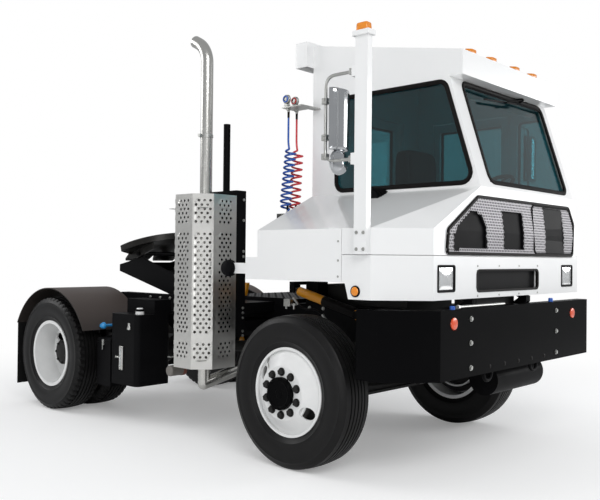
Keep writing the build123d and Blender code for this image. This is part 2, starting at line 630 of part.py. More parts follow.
# Exhaust: guard, silencer, stack and the frame that carries them
GUARD_X0 = -1137.0
GUARD_X1 = -934.0
GUARD_CUT = 112.0
GUARD_Y = COWL_SIDE_Y
GUARD_DEPTH = 342.0
GUARD_Z0 = 575.0
GUARD_Z1 = 1888.0
GUARD_T = 4.0
GUARD_BACK_Y = GUARD_Y + GUARD_DEPTH
guard_out = [(GUARD_X0 - GUARD_CUT, GUARD_BACK_Y), (GUARD_X0 - GUARD_CUT, GUARD_Y + GUARD_CUT), (GUARD_X0, GUARD_Y),
             (GUARD_X1, GUARD_Y), (GUARD_X1 + GUARD_CUT, GUARD_Y + GUARD_CUT), (GUARD_X1 + GUARD_CUT, GUARD_BACK_Y)]
mitre = GUARD_T * math.tan(math.radians(45 / 2))
guard_in = [(GUARD_X1 + GUARD_CUT - GUARD_T, GUARD_BACK_Y),
            (GUARD_X1 + GUARD_CUT - GUARD_T, GUARD_Y + GUARD_CUT + mitre),
            (GUARD_X1 - mitre, GUARD_Y + GUARD_T), (GUARD_X0 + mitre, GUARD_Y + GUARD_T),
            (GUARD_X0 - GUARD_CUT + GUARD_T, GUARD_Y + GUARD_CUT + mitre),
            (GUARD_X0 - GUARD_CUT + GUARD_T, GUARD_BACK_Y)]
STACK_X = (GUARD_X0 + GUARD_X1) / 2
STACK_IN = 215.0              # from the guard's face to the stack
STACK_Y = GUARD_Y + STACK_IN
STACK_R = 47.0
STACK_WALL = 3.0
STACK_BEND_Z = 2920.0
STACK_BEND_R = 190.0
STACK_BEND = 62.0
STACK_TIP = 50.0
SILENCER_R = 120.0
SILENCER_Z0 = 640.0
SILENCER_Z1 = 1800.0
PIPE_DROP = 205.0
silencer = bar(SILENCER_R, (STACK_X, STACK_Y, SILENCER_Z0), (STACK_X, STACK_Y, SILENCER_Z1))


def stack_path():
    """Straight up, then curved over to the rear."""
    low = (STACK_X, STACK_Y, SILENCER_Z1)
    bend = (STACK_X, STACK_Y, STACK_BEND_Z)
    turn = math.radians(STACK_BEND)
    over = (STACK_X - STACK_BEND_R * (1 - math.cos(turn)), STACK_Y, STACK_BEND_Z + STACK_BEND_R * math.sin(turn))
    rise = Line(low, bend)
    curve = TangentArc(bend, over, tangent=(0, 0, 1))
    end = (over[0] - STACK_TIP * math.sin(turn), STACK_Y, over[2] + STACK_TIP * math.cos(turn))
    return Wire([rise, curve, Line(over, end)])


path = stack_path()
stack_section = Plane(origin=path @ 0, z_dir=path % 0) * (Circle(STACK_R) - Circle(STACK_R - STACK_WALL))
PIPE_END = (-700.0, -153.0, 740.0)
inlet_turn = (STACK_X, STACK_Y, SILENCER_Z0 - PIPE_DROP)
inlet = (bar(STACK_R, (STACK_X, STACK_Y, SILENCER_Z0), inlet_turn)
         + Pos(*inlet_turn) * Sphere(STACK_R)
         + bar(STACK_R, inlet_turn, PIPE_END))
inlet = inlet - parts["engine_and_drive_line"]
save("exhaust_guard", slab_z(guard_out + guard_in, GUARD_Z0, GUARD_Z1)
     - bar(STACK_R + GAP, inlet_turn, PIPE_END))
save("exhaust_stack", fused([silencer, inlet, sweep(stack_section, path=path)]))
CARRIER_T = 12.0
CARRIER_FLANGE = 100.0
CARRIER_X0 = GUARD_X0 - GUARD_CUT
CARRIER_X1 = GUARD_X1 + GUARD_CUT
CARRIER_TOP = 1930.0
CARRIER_H = 80.0
carrier = [box(CARRIER_X0, CARRIER_X1, GUARD_BACK_Y, GUARD_BACK_Y + CARRIER_T, RAIL_BOTTOM, CARRIER_TOP)]
for x in (CARRIER_X0, CARRIER_X1 - CARRIER_T):
    carrier.append(box(x, x + CARRIER_T, GUARD_BACK_Y, GUARD_BACK_Y + CARRIER_FLANGE, RAIL_BOTTOM, CARRIER_TOP))
for z in (RAIL_BOTTOM + CARRIER_H / 2, RAIL_TOP - CARRIER_H):
    carrier.append(box(CARRIER_X0, CARRIER_X1, GUARD_BACK_Y + CARRIER_T, -RAIL_OUT, z, z + CARRIER_H))
for z in (SILENCER_Z0 + CARRIER_H * 2, SILENCER_Z1 - CARRIER_H * 2):
    band = box(STACK_X - CARRIER_H / 2, STACK_X + CARRIER_H / 2, STACK_Y, GUARD_BACK_Y, z, z + CARRIER_H) - silencer
    carrier.append(band)

# Hose mast on the carrier's inner face
MAST_X = -1160.0
MAST_IN = 198.0
MAST_Y = GUARD_BACK_Y + MAST_IN
MAST_R = 28.0
MAST_TOP = 2500.0
mast = bar(MAST_R, (MAST_X, MAST_Y, RAIL_TOP - CARRIER_H / 2), (MAST_X, MAST_Y, MAST_TOP))
mast_foot = box(MAST_X - MAST_R, MAST_X + MAST_R, GUARD_BACK_Y + CARRIER_T, MAST_Y, CARRIER_TOP - CARRIER_H, CARRIER_TOP)
save("exhaust_carrier", fused(carrier + [mast, mast_foot]))

# Deck behind the cab, rear cab mounts and cab pivot brackets
DECK_X0 = -1480.0
DECK_X1 = -580.0
DECK_T = 30.0
DECK_Y1 = TANK_Y_OUT
deck = (box(DECK_X0, DECK_X1, -RAIL_OUT - GAP, DECK_Y1, RAIL_TOP, RAIL_TOP + DECK_T)
     - box(MAST_X - MAST_R * 2, DECK_X1 + OVERRUN, -HALF_WIDTH, -RAIL_OUT, 0, RAIL_TOP * 2))
STEP_X0 = -1300.0
STEP_X1 = -760.0
STEP_T = 25.0
STEP_DEPTH = 240.0
STEP_Y0 = DECK_Y1 - STEP_DEPTH
STEP_ZS = (420.0, 740.0)
steps = [box(STEP_X0, STEP_X1, STEP_Y0, DECK_Y1, z, z + STEP_T) for z in STEP_ZS]
for x in (STEP_X0, STEP_X1 - STEP_T):
    steps.append(box(x, x + STEP_T, STEP_Y0, DECK_Y1, STEP_ZS[0], RAIL_TOP))
save("deck_and_steps", fused([deck] + steps))
MOUNT_HALF = 60.0
MOUNT_X = CAB_REAR_X + MOUNT_HALF * 2


def cab_mount(side):
    """Post on the rail that the cab's rear rests on."""
    y0, y1 = side * (RAIL_OUT - MOUNT_HALF * 2), side * RAIL_OUT
    return box(MOUNT_X - MOUNT_HALF, MOUNT_X + MOUNT_HALF, y0, y1, RAIL_TOP, CAB_BOTTOM - SEAT_GAP)


PIVOT_Y = 385.0
PIVOT_LUG_T = 25.0


def pivot_bracket(side):
    """Two ears above the rail's front end with the pin that the cab tilts on."""
    made = []
    for end in (-1, 1):
        y0 = side * PIVOT_Y + end * (PIVOT_LUG_T / 2 + GAP)
        outline = [(RAIL_FRONT_X - LUG_R * 3, RAIL_TOP), (RAIL_FRONT_X, RAIL_TOP),
                   (CAB_PIVOT_X + PIN_R, CAB_PIVOT_Z - PIN_R), (CAB_PIVOT_X + PIN_R, CAB_PIVOT_Z + PIN_R),
                   (CAB_PIVOT_X - PIN_R, CAB_PIVOT_Z + PIN_R)]
        made.append(slab(outline, y0, y0 + end * PIVOT_LUG_T / 2))
    reach = PIVOT_LUG_T + GAP
    made.append(bar(PIN_R / 2, (CAB_PIVOT_X, side * PIVOT_Y - reach, CAB_PIVOT_Z),
                    (CAB_PIVOT_X, side * PIVOT_Y + reach, CAB_PIVOT_Z)))
    return fused(made)


TILT_Y = -520.0               # plane of the cylinder that tips the cab
TILT_FOOT = (120.0, 1010.0)
TILT_HEAD = (-515.0, 1170.0)
TILT_R = 35.0
TILT_ROD_R = 18.0
TILT_PIN_R = 14.0
tilt_inner = TILT_Y + TILT_R + GAP
tilt_foot = fused([
    box(TILT_FOOT[0] - TILT_R, TILT_FOOT[0] + TILT_R, tilt_inner, -RAIL_OUT, TILT_FOOT[1] - TILT_R * 2, TILT_FOOT[1] + TILT_R),
    bar(TILT_PIN_R, (TILT_FOOT[0], tilt_inner, TILT_FOOT[1]), (TILT_FOOT[0], TILT_Y - TILT_R - GAP, TILT_FOOT[1])),
    bar(TILT_R - GAP, (TILT_FOOT[0], TILT_Y - TILT_R - GAP, TILT_FOOT[1]),
        (TILT_FOOT[0], TILT_Y - TILT_R - GAP * 2, TILT_FOOT[1])),
])
save("cab_mounts", Compound(children=[make(side) for make in (cab_mount, pivot_bracket) for side in (-1, 1)]
                                 + [tilt_foot]))

# Cab shell: side walls with their windows and the left door
WINDOW_REAR_X = -295.0
WINDOW_RAIL = 30.0            # wall between a side window and the sill or the eave
WINDOW_LOW = SILL_Z + WINDOW_RAIL
WINDOW_HIGH = EAVE_Z - WINDOW_RAIL
WINDOW_EDGE = 40.0
WINDOW_R = 70.0
GLASS_T = 6.0
side_outline = [(CAB_REAR_X, CAB_BOTTOM), (CAB_FRONT_X, CAB_BOTTOM), (CAB_FRONT_X, SILL_Z),
                (PILLAR_TOP_X, EAVE_Z), (CAB_REAR_X, EAVE_Z)]
pillar_slope = (CAB_FRONT_X - PILLAR_TOP_X) / (EAVE_Z - SILL_Z)


def pillar_x(z, inset):
    """X of the windscreen pillar's front edge at a height, less an inset."""
    return CAB_FRONT_X - (z - SILL_Z) * pillar_slope - inset


def window_outline(rear_x, low, high, inset):
    """Corners of a side window whose front edge follows the windscreen pillar."""
    return [(rear_x, low), (pillar_x(low, inset), low), (pillar_x(high, inset), high), (rear_x, high)]


def rounded_slab(points, radius, y0, y1):
    """As slab, with its corners rounded."""
    face = Plane.XZ * make_face(FilletPolyline(*points, radius=radius, close=True))
    return Pos(0, max(y0, y1), 0) * extrude(face, abs(y1 - y0))


right_window = window_outline(WINDOW_REAR_X, WINDOW_LOW, WINDOW_HIGH, WINDOW_EDGE)
right_wall = slab(side_outline, CAB_RIGHT_Y, CAB_RIGHT_Y + WALL)
right_wall = right_wall - rounded_slab(right_window, WINDOW_R, CAB_RIGHT_Y - OVERRUN, CAB_RIGHT_Y + WALL + OVERRUN)
save("cab_right_wall", right_wall)
glass_y = CAB_RIGHT_Y + WALL / 2
right_glass = rounded_slab(right_window, WINDOW_R, glass_y - GLASS_T, glass_y)

DOOR_FRONT_X = 420.0
DOOR_REAR_X = -340.0
DOOR_LOW = 1300.0
DOOR_HIGH = EAVE_Z - WALL
DOOR_EDGE = 70.0
DOOR_WINDOW_DROP = 65.0       # door windows reach below the sill
DOOR_WINDOW_LOW = SILL_Z - DOOR_WINDOW_DROP
HINGE_R = 10.0
HINGE_PIN_R = 5.0
HINGE_H = 60.0
HINGE_STRAP = 55.0
HINGE_STRAP_T = 6.0
HINGE_INSET = 150.0
HINGE_STEP = (DOOR_HIGH - DOOR_LOW - HINGE_INSET * 2 - WALL) / 2
HINGE_ZS = [DOOR_LOW + HINGE_INSET + i * HINGE_STEP for i in range(3)]
hinge_x = DOOR_FRONT_X - GAP / 2
hinge_y = CAB_LEFT_Y + HINGE_R
quarter = window_outline(DOOR_FRONT_X + DOOR_EDGE, WINDOW_LOW, WINDOW_HIGH - DOOR_EDGE, WINDOW_EDGE)
left_wall = slab(side_outline, CAB_LEFT_Y - WALL, CAB_LEFT_Y)
left_wall = left_wall - box(DOOR_REAR_X, DOOR_FRONT_X, CAB_LEFT_Y - WALL - OVERRUN, CAB_LEFT_Y + OVERRUN,
                            DOOR_LOW, DOOR_HIGH)
left_wall = left_wall - rounded_slab(quarter, WINDOW_EDGE, CAB_LEFT_Y - WALL - OVERRUN, CAB_LEFT_Y + OVERRUN)
door = box(DOOR_REAR_X + GAP, DOOR_FRONT_X - GAP, CAB_LEFT_Y - WALL, CAB_LEFT_Y, DOOR_LOW + GAP, DOOR_HIGH - GAP)
door = door - box(DOOR_REAR_X + GAP + DOOR_EDGE, DOOR_FRONT_X - GAP - DOOR_EDGE, CAB_LEFT_Y - WALL - OVERRUN,
                  CAB_LEFT_Y + OVERRUN, DOOR_WINDOW_LOW, DOOR_HIGH - GAP - DOOR_EDGE)
for z in HINGE_ZS:
    knuckle_low, knuckle_high = z + SEAT_GAP, z + HINGE_H - SEAT_GAP
    door = door + box(hinge_x - HINGE_STRAP, hinge_x, CAB_LEFT_Y, CAB_LEFT_Y + HINGE_STRAP_T, knuckle_low, knuckle_high)
    door = door + bar(HINGE_R, (hinge_x, hinge_y, knuckle_low), (hinge_x, hinge_y, knuckle_high))
    door = door - bar(HINGE_PIN_R + FIT, (hinge_x, hinge_y, z - OVERRUN), (hinge_x, hinge_y, z + HINGE_H + OVERRUN))
    left_wall = left_wall + bar(HINGE_PIN_R, (hinge_x, hinge_y, z - HINGE_H / 2), (hinge_x, hinge_y, z + HINGE_H * 3 / 2))
    for low in (z - HINGE_H / 2, z + HINGE_H):
        left_wall = left_wall + bar(HINGE_R, (hinge_x, hinge_y, low), (hinge_x, hinge_y, low + HINGE_H / 2))
        left_wall = left_wall + box(hinge_x, hinge_x + HINGE_STRAP, CAB_LEFT_Y, CAB_LEFT_Y + HINGE_STRAP_T,
                                    low, low + HINGE_H / 2)
save("cab_left_wall", left_wall)
save("left_door", door)
left_glass_y = CAB_LEFT_Y - WALL / 2
quarter_glass = rounded_slab(quarter, WINDOW_EDGE, left_glass_y, left_glass_y + GLASS_T)
save("left_door_window", box(DOOR_REAR_X + GAP + DOOR_EDGE, DOOR_FRONT_X - GAP - DOOR_EDGE, left_glass_y,
                             left_glass_y + GLASS_T, DOOR_WINDOW_LOW, DOOR_HIGH - GAP - DOOR_EDGE))

# Rear wall, the door that slides behind it and the rail box that it hangs from
REAR_OPEN_Y0 = 240.0
REAR_OPEN_Y1 = 900.0
REAR_OPEN_Z0 = DOOR_LOW
REAR_OPEN_Z1 = DOOR_HIGH
SLIDE_T = 30.0
SLIDE_LAP = 20.0
SLIDE_GAP = 8.0
SLIDE_FRAME = 105.0
HEADER_DROP = 170.0           # header's lower edge below the roof's rear
HEADER_H = 200.0
HEADER_Z0 = ROOF_REAR_Z - HEADER_DROP
HEADER_Z1 = HEADER_Z0 + HEADER_H
HEADER_X0 = -660.0
HEADER_PAST = 80.0            # how far the header runs past the cab's right wall
HEADER_Y0 = CAB_RIGHT_Y - HEADER_PAST
HEADER_Y1 = CAB_LEFT_Y - WINDOW_RAIL
HEADER_T = 5.0
HANGER_LOW = 30.0
HANGER_H = 50.0
HANGER_ZS = (HEADER_Z0 + HANGER_LOW, HEADER_Z0 + HANGER_LOW + HANGER_H)
HANGER_R = 14.0
HANGER_INSET = 80.0
SLIDE_RAIL_R = 10.0
rear_wall = box(CAB_REAR_X, CAB_REAR_X + WALL, CAB_RIGHT_Y + WALL, CAB_LEFT_Y - WALL, CAB_BOTTOM + FLOOR_T, EAVE_Z)
save("cab_rear_wall", rear_wall - box(CAB_REAR_X - OVERRUN, CAB_REAR_X + WALL + OVERRUN, REAR_OPEN_Y0, REAR_OPEN_Y1,
                                      REAR_OPEN_Z0, REAR_OPEN_Z1))
slide_x1 = CAB_REAR_X - SLIDE_GAP
slide_x0 = slide_x1 - SLIDE_T
slide_mid = (slide_x0 + slide_x1) / 2
slide_y0, slide_y1 = REAR_OPEN_Y0 - SLIDE_LAP, REAR_OPEN_Y1 + SLIDE_LAP
slider = box(slide_x0, slide_x1, slide_y0, slide_y1, REAR_OPEN_Z0 - SLIDE_LAP, HANGER_ZS[0])
slider = slider - box(slide_x0 - OVERRUN, slide_x1 + OVERRUN, slide_y0 + SLIDE_FRAME, slide_y1 - SLIDE_FRAME,
                      DOOR_WINDOW_LOW, REAR_OPEN_Z1 - DOOR_EDGE)
for y in (slide_y0 + HANGER_INSET, slide_y1 - HANGER_INSET):
    slider = slider + box(slide_mid - HANGER_R / 2, slide_mid + HANGER_R / 2, y - HANGER_R, y + HANGER_R, *HANGER_ZS)
    slider = slider + bar(HANGER_R, (slide_mid, y - HANGER_R, HANGER_ZS[1]), (slide_mid, y + HANGER_R, HANGER_ZS[1]))
slider = slider - bar(SLIDE_RAIL_R + SEAT_GAP, (slide_mid, HEADER_Y0, HANGER_ZS[1]), (slide_mid, HEADER_Y1, HANGER_ZS[1]))
save("rear_door", slider)
save("rear_door_window", box(slide_mid - GLASS_T / 2, slide_mid + GLASS_T / 2, slide_y0 + SLIDE_FRAME,
                             slide_y1 - SLIDE_FRAME, DOOR_WINDOW_LOW, REAR_OPEN_Z1 - DOOR_EDGE))
header = box(HEADER_X0, CAB_REAR_X, HEADER_Y0, HEADER_Y1, HEADER_Z0, HEADER_Z1)
header = header - box(HEADER_X0 + HEADER_T, CAB_REAR_X - HEADER_T, HEADER_Y0 + HEADER_T, HEADER_Y1 - HEADER_T,
                      HEADER_Z0 - OVERRUN, HEADER_Z1 - HEADER_T)
header = header + bar(SLIDE_RAIL_R, (slide_mid, HEADER_Y0 + HEADER_T, HANGER_ZS[1]),
                      (slide_mid, HEADER_Y1 - HEADER_T, HANGER_ZS[1]))
save("door_header", header)

# Roof, floor with the tilt lugs, windscreen wall
roof_outline = [(CAB_REAR_X, EAVE_Z), (ROOF_FRONT_X, EAVE_Z), (ROOF_FRONT_X, ROOF_FRONT_Z), (ROOF_REAR_X, ROOF_REAR_Z),
                (CAB_REAR_X, ROOF_REAR_Z)]
roof_slope = (ROOF_REAR_Z - ROOF_FRONT_Z) / (ROOF_FRONT_X - ROOF_REAR_X)
room_front_x = PILLAR_TOP_X - WALL
room = [(CAB_REAR_X + WALL, EAVE_Z - OVERRUN), (room_front_x, EAVE_Z - OVERRUN),
        (room_front_x, ROOF_FRONT_Z + roof_slope * (ROOF_FRONT_X - room_front_x) - WALL),
        (ROOF_REAR_X, ROOF_REAR_Z - WALL), (CAB_REAR_X + WALL, ROOF_REAR_Z - WALL)]
room = [point for i, point in enumerate(room) if point != room[i - 1]]
save("cab_roof", slab(roof_outline, CAB_RIGHT_Y, CAB_LEFT_Y) - slab(room, CAB_RIGHT_Y + WALL, CAB_LEFT_Y - WALL))
SCREEN_IN_RIGHT = 150.0       # wall beside the windscreen, wider on the right
SCREEN_IN_LEFT = 90.0
SCREEN_Y0 = CAB_RIGHT_Y + SCREEN_IN_RIGHT
SCREEN_Y1 = CAB_LEFT_Y - SCREEN_IN_LEFT
front_outline = [(CAB_FRONT_X - WALL, CAB_BOTTOM), (CAB_FRONT_X, CAB_BOTTOM), (CAB_FRONT_X, SILL_Z),
                 (PILLAR_TOP_X, EAVE_Z), (PILLAR_TOP_X - WALL, EAVE_Z), (CAB_FRONT_X - WALL, SILL_Z)]
screen_low = SILL_Z + WINDOW_EDGE
screen_high = EAVE_Z - WINDOW_EDGE
save("windscreen_wall", slab(front_outline, CAB_RIGHT_Y + WALL, CAB_LEFT_Y - WALL)
     - box(PILLAR_TOP_X - WALL * 2, CAB_FRONT_X + OVERRUN, SCREEN_Y0, SCREEN_Y1, screen_low, screen_high))
screen = [(pillar_x(screen_low, WALL / 2) - GLASS_T, screen_low), (pillar_x(screen_low, WALL / 2), screen_low),
          (pillar_x(screen_high, WALL / 2), screen_high), (pillar_x(screen_high, WALL / 2) - GLASS_T, screen_high)]
save("cab_windows", Compound(children=[right_glass, quarter_glass, slab(screen, SCREEN_Y0, SCREEN_Y1)]))
LUG_REACH = 180.0
TILT_BEAM_W = 50.0
TILT_BEAM_X = (CAB_REAR_X, CAB_REAR_X + TILT_BEAM_W)
TILT_BEAM_H = 25.0
TILT_EAR_T = 12.0


def cab_lug(side):
    """Arm from the cab's floor down to the tilt pin."""
    y = side * PIVOT_Y
    outline = [(CAB_PIVOT_X - LUG_REACH, CAB_BOTTOM), (CAB_FRONT_X - WALL, CAB_BOTTOM),
               (CAB_PIVOT_X + PIN_R, CAB_PIVOT_Z + PIN_R), (CAB_PIVOT_X + PIN_R, CAB_PIVOT_Z - PIN_R),
               (CAB_PIVOT_X - PIN_R, CAB_PIVOT_Z - PIN_R)]
    lug = slab(outline, y - PIVOT_LUG_T / 2, y + PIVOT_LUG_T / 2)
    return lug - bar(PIN_R / 2 + FIT, (CAB_PIVOT_X, y - OVERRUN, CAB_PIVOT_Z), (CAB_PIVOT_X, y + OVERRUN, CAB_PIVOT_Z))


tilt_reach = TILT_ROD_R + GAP + TILT_EAR_T
floor = [box(CAB_REAR_X, CAB_FRONT_X - WALL, CAB_RIGHT_Y + WALL, CAB_LEFT_Y - WALL, CAB_BOTTOM, CAB_BOTTOM + FLOOR_T),
         cab_lug(-1), cab_lug(1),
         box(CAB_PIVOT_X - LUG_REACH, CAB_FRONT_X - WALL, -PIVOT_Y - PIVOT_LUG_T, CAB_RIGHT_Y + WALL * 2,
             CAB_BOTTOM - TILT_BEAM_H, CAB_BOTTOM),
         box(*TILT_BEAM_X, TILT_Y - tilt_reach, CAB_RIGHT_Y + WALL * 2, CAB_BOTTOM - TILT_BEAM_H, CAB_BOTTOM)]
for end in (-1, 1):
    y0 = TILT_Y + end * (TILT_ROD_R + GAP)
    floor.append(box(TILT_HEAD[0] - TILT_BEAM_H, TILT_HEAD[0] + TILT_BEAM_H, y0, y0 + end * TILT_EAR_T,
                     TILT_HEAD[1] - TILT_BEAM_H, CAB_BOTTOM))
for end in (-1, 1):
    floor.append(bar(TILT_PIN_R, (TILT_HEAD[0], TILT_Y + end * (TILT_ROD_R + FIT), TILT_HEAD[1]),
                     (TILT_HEAD[0], TILT_Y + end * tilt_reach, TILT_HEAD[1])))
save("cab_floor", fused(floor))

# Cowl: outer hull less inner hull, then parted along its seams
HEAD_LIP = 2.0
foot = [(CAB_REAR_X, CAB_RIGHT_Y), (SIDE_REAR_X, COWL_SIDE_Y), (COWL_CHAMFER_X, COWL_SIDE_Y),
        (COWL_FRONT_X, COWL_BEND_Y), (COWL_FRONT_X, CAB_LEFT_Y), (CAB_FRONT_X, CAB_LEFT_Y), (CAB_FRONT_X, CAB_RIGHT_Y)]
head = [(CAB_REAR_X, CAB_RIGHT_Y), (CAB_REAR_X + HEAD_LIP, CAB_RIGHT_Y - HEAD_LIP),
        (CAB_FRONT_X, CAB_RIGHT_Y - HEAD_LIP), (CAB_FRONT_X + HEAD_LIP, CAB_RIGHT_Y), (CAB_FRONT_X + HEAD_LIP, CAB_LEFT_Y),
        (CAB_FRONT_X, CAB_LEFT_Y), (CAB_FRONT_X, CAB_RIGHT_Y)]
rear_in_x = CAB_REAR_X + COWL_T * 2
foot_in = [(rear_in_x, CAB_RIGHT_Y), (SIDE_REAR_X + COWL_T, COWL_SIDE_Y + COWL_T),
           (COWL_CHAMFER_X - COWL_T / 2, COWL_SIDE_Y + COWL_T), (COWL_FRONT_X - COWL_T, COWL_BEND_Y + COWL_T / 2),
           (COWL_FRONT_X - COWL_T, CAB_LEFT_Y - COWL_T), (CAB_FRONT_X, CAB_LEFT_Y - COWL_T), (CAB_FRONT_X, CAB_RIGHT_Y)]
head_in = [(rear_in_x, CAB_RIGHT_Y), (rear_in_x + HEAD_LIP, CAB_RIGHT_Y - HEAD_LIP),
           (CAB_FRONT_X - COWL_T, CAB_RIGHT_Y - HEAD_LIP), (CAB_FRONT_X + HEAD_LIP / 2, CAB_RIGHT_Y),
           (CAB_FRONT_X + HEAD_LIP / 2, CAB_LEFT_Y - COWL_T), (CAB_FRONT_X, CAB_LEFT_Y - COWL_T), (CAB_FRONT_X, CAB_RIGHT_Y)]


def hull(low_points, high_points, z0, z1):
    """A solid with flat triangular sides between two outlines of as many corners."""
    low = [Vector(x, y, z0) for x, y in low_points]
    high = [Vector(x, y, z1) for x, y in high_points]
    faces = [make_face(Polyline(*low, close=True)), make_face(Polyline(*high, close=True))]
    for i in range(len(low)):
        j = (i + 1) % len(low)
        faces.append(make_face(Polyline(low[i], low[j], high[j], close=True)))
        faces.append(make_face(Polyline(low[i], high[j], high[i], close=True)))
    return Solid(Shell(faces))


def front_slab(points, x0, x1):
    """A plate whose outline is given in Y and Z, from one X to another."""
    face = Plane.YZ * make_face(Polyline(*points, close=True))
    return Pos(min(x0, x1), 0, 0) * extrude(face, abs(x1 - x0))


low_block = slab_z(foot, COWL_BOTTOM, CREASE_Z)
high_block = hull(foot, head, CREASE_Z, SILL_Z)
shell = low_block - slab_z(foot_in, COWL_BOTTOM - OVERRUN, CREASE_Z)
shell = shell + (high_block - hull(foot_in, head_in, CREASE_Z, SILL_Z - COWL_T * 3 / 2))
shell = shell - slab([(CAB_REAR_X * 2, 0), (CAB_REAR_X * 2, SIDE_BOTTOM), (ARCH_END_X - COWL_T, SIDE_BOTTOM),
                      (ARCH_END_X, COWL_BOTTOM), (ARCH_END_X, 0)], COWL_SIDE_Y - OVERRUN, CAB_RIGHT_Y)
side_tail = box(SIDE_STEP_X, SIDE_REAR_X + COWL_T, COWL_SIDE_Y, COWL_SIDE_Y + COWL_T, SIDE_BOTTOM, SIDE_STEP_Z)
far = HALF_WIDTH * 2
side_zone = box(-far, SIDE_SEAM_X - PANEL_GAP / 2, -far, CAB_RIGHT_Y, 0, CREASE_Z)
side_keep = box(-far, SIDE_SEAM_X + PANEL_GAP / 2, -far, CAB_RIGHT_Y, 0, CREASE_Z)
lamp_zone = box(SIDE_SEAM_X + PANEL_GAP / 2, far, -far, far, 0, LAMP_PANEL_TOP - PANEL_GAP / 2)
lamp_keep = box(SIDE_SEAM_X - PANEL_GAP / 2, far, -far, far, 0, LAMP_PANEL_TOP + PANEL_GAP / 2)
save("side_panel", (shell & side_zone) + side_tail)
lamp_panel = shell & lamp_zone

# Openings in the front: grille, slot and lamps
GRILLE_T = 20.0
GRILLE_IN_RIGHT = 140.0
GRILLE_IN_LEFT = 70.0
GRILLE_DROP = 75.0
GRILLE_RIGHT = COWL_BEND_Y + GRILLE_IN_RIGHT
GRILLE_LEFT = CAB_LEFT_Y - GRILLE_IN_LEFT
GRILLE_LOW = LAMP_PANEL_TOP + WINDOW_RAIL / 2
GRILLE_TOP = SILL_Z - GRILLE_DROP
GRILLE_SLANT = 130.0          # height of the slanting end at the top left
GRILLE_NIP = 15.0             # how far the frame's other corners step in
GRILLE = [(GRILLE_RIGHT, GRILLE_LOW + GRILLE_NIP), (GRILLE_RIGHT + GRILLE_NIP, CREASE_Z),
          (CAB_RIGHT_Y - GRILLE_NIP * 4, GRILLE_TOP), (GRILLE_LEFT - GRILLE_NIP * 4, GRILLE_TOP),
          (GRILLE_LEFT, GRILLE_TOP - GRILLE_SLANT), (GRILLE_LEFT - GRILLE_NIP * 3, GRILLE_LOW),
          (GRILLE_RIGHT + GRILLE_NIP, GRILLE_LOW)]
SLOT_HALF = 445.0
SLOT_Y = 32.0
SLOT_H = 139.0
SLOT_RISE = 43.0
SLOT_LOW = COWL_BOTTOM + SLOT_RISE
SLOT = (SLOT_Y - SLOT_HALF, SLOT_Y + SLOT_HALF, SLOT_LOW, SLOT_LOW + SLOT_H)
LAMP_W = 200.0
LAMP_H = 167.0
LAMP_LOW = SLOT_LOW + GAP
LAMP_INSET = 44.0             # from the cowl's bend to the right lamp
LEFT_LAMP_INSET = 100.0
LAMPS = [(y, y + LAMP_W, LAMP_LOW, LAMP_LOW + LAMP_H)
         for y in (COWL_BEND_Y + LAMP_INSET, CAB_LEFT_Y - LEFT_LAMP_INSET - LAMP_W)]
LAMP_T = 25.0
MARKER = (617.0, 1213.0)
MARKER_R = 32.0
MARKER_T = 14.0
ROOF_LAMP_X = 720.0
ROOF_LAMP_IN = 259.0          # from a side wall to the outer roof lamp
ROOF_LAMP_PITCH = 298.0
ROOF_LAMP_YS = (CAB_RIGHT_Y + ROOF_LAMP_IN, CAB_RIGHT_Y + ROOF_LAMP_IN + ROOF_LAMP_PITCH,
                CAB_LEFT_Y - ROOF_LAMP_IN - ROOF_LAMP_PITCH, CAB_LEFT_Y - ROOF_LAMP_IN)
ROOF_LAMP = (70.0, 130.0, 45.0)
grille_zone = front_slab(GRILLE, CAB_FRONT_X + SEAT_GAP, COWL_FRONT_X + OVERRUN)
grille_skin = (high_block + low_block) & grille_zone
WELL_DEPTH = 12.0
WELL_IN = 75.0                # frame of mesh around the right well
MIDDLE_WELL = (228.0, 535.0)  # the middle well, from the cab's right wall
well_low, well_high = GRILLE_LOW + GRILLE_DROP / 2, GRILLE_TOP - GRILLE_DROP
right_well = [(GRILLE_RIGHT + WELL_IN, well_low), (GRILLE_RIGHT + WELL_IN, CREASE_Z - WINDOW_RAIL),
              (CAB_RIGHT_Y - WELL_IN * 5 / 2, well_high - GRILLE_NIP), (CAB_RIGHT_Y - WELL_IN, well_high - GRILLE_NIP),
              (CAB_RIGHT_Y, CREASE_Z + WINDOW_RAIL), (CAB_RIGHT_Y, well_low)]
middle_well = [(CAB_RIGHT_Y + y, z) for y, z in ((MIDDLE_WELL[0], well_low), (MIDDLE_WELL[1], well_low),
                                                  (MIDDLE_WELL[1], well_high), (MIDDLE_WELL[0], well_high))]
grille_panel = grille_skin - Pos(-GRILLE_T, 0, 0) * grille_skin
for well in (right_well, middle_well):
    hole = front_slab(well, CAB_FRONT_X + SEAT_GAP, COWL_FRONT_X + OVERRUN)
    bottom = Pos(-WELL_DEPTH, 0, 0) * grille_skin
    grille_panel = grille_panel - (hole - bottom)
save("grille", grille_panel)
save("front_cowl", shell - side_keep - lamp_keep - grille_zone)
lamp_panel = lamp_panel - box(COWL_FRONT_X - OVERRUN * 2, COWL_FRONT_X + OVERRUN, *SLOT)
lamps = []
for lamp in LAMPS:
    lamp_panel = lamp_panel - box(COWL_FRONT_X - LAMP_T, COWL_FRONT_X + OVERRUN, *lamp)
    lamps.append(box(COWL_FRONT_X - LAMP_T, COWL_FRONT_X - HEAD_LIP, *lamp))
lamps.append(bar(MARKER_R, (MARKER[0], COWL_SIDE_Y, MARKER[1]), (MARKER[0], COWL_SIDE_Y - MARKER_T, MARKER[1])))
roof_top = slab(roof_outline, -far, far)
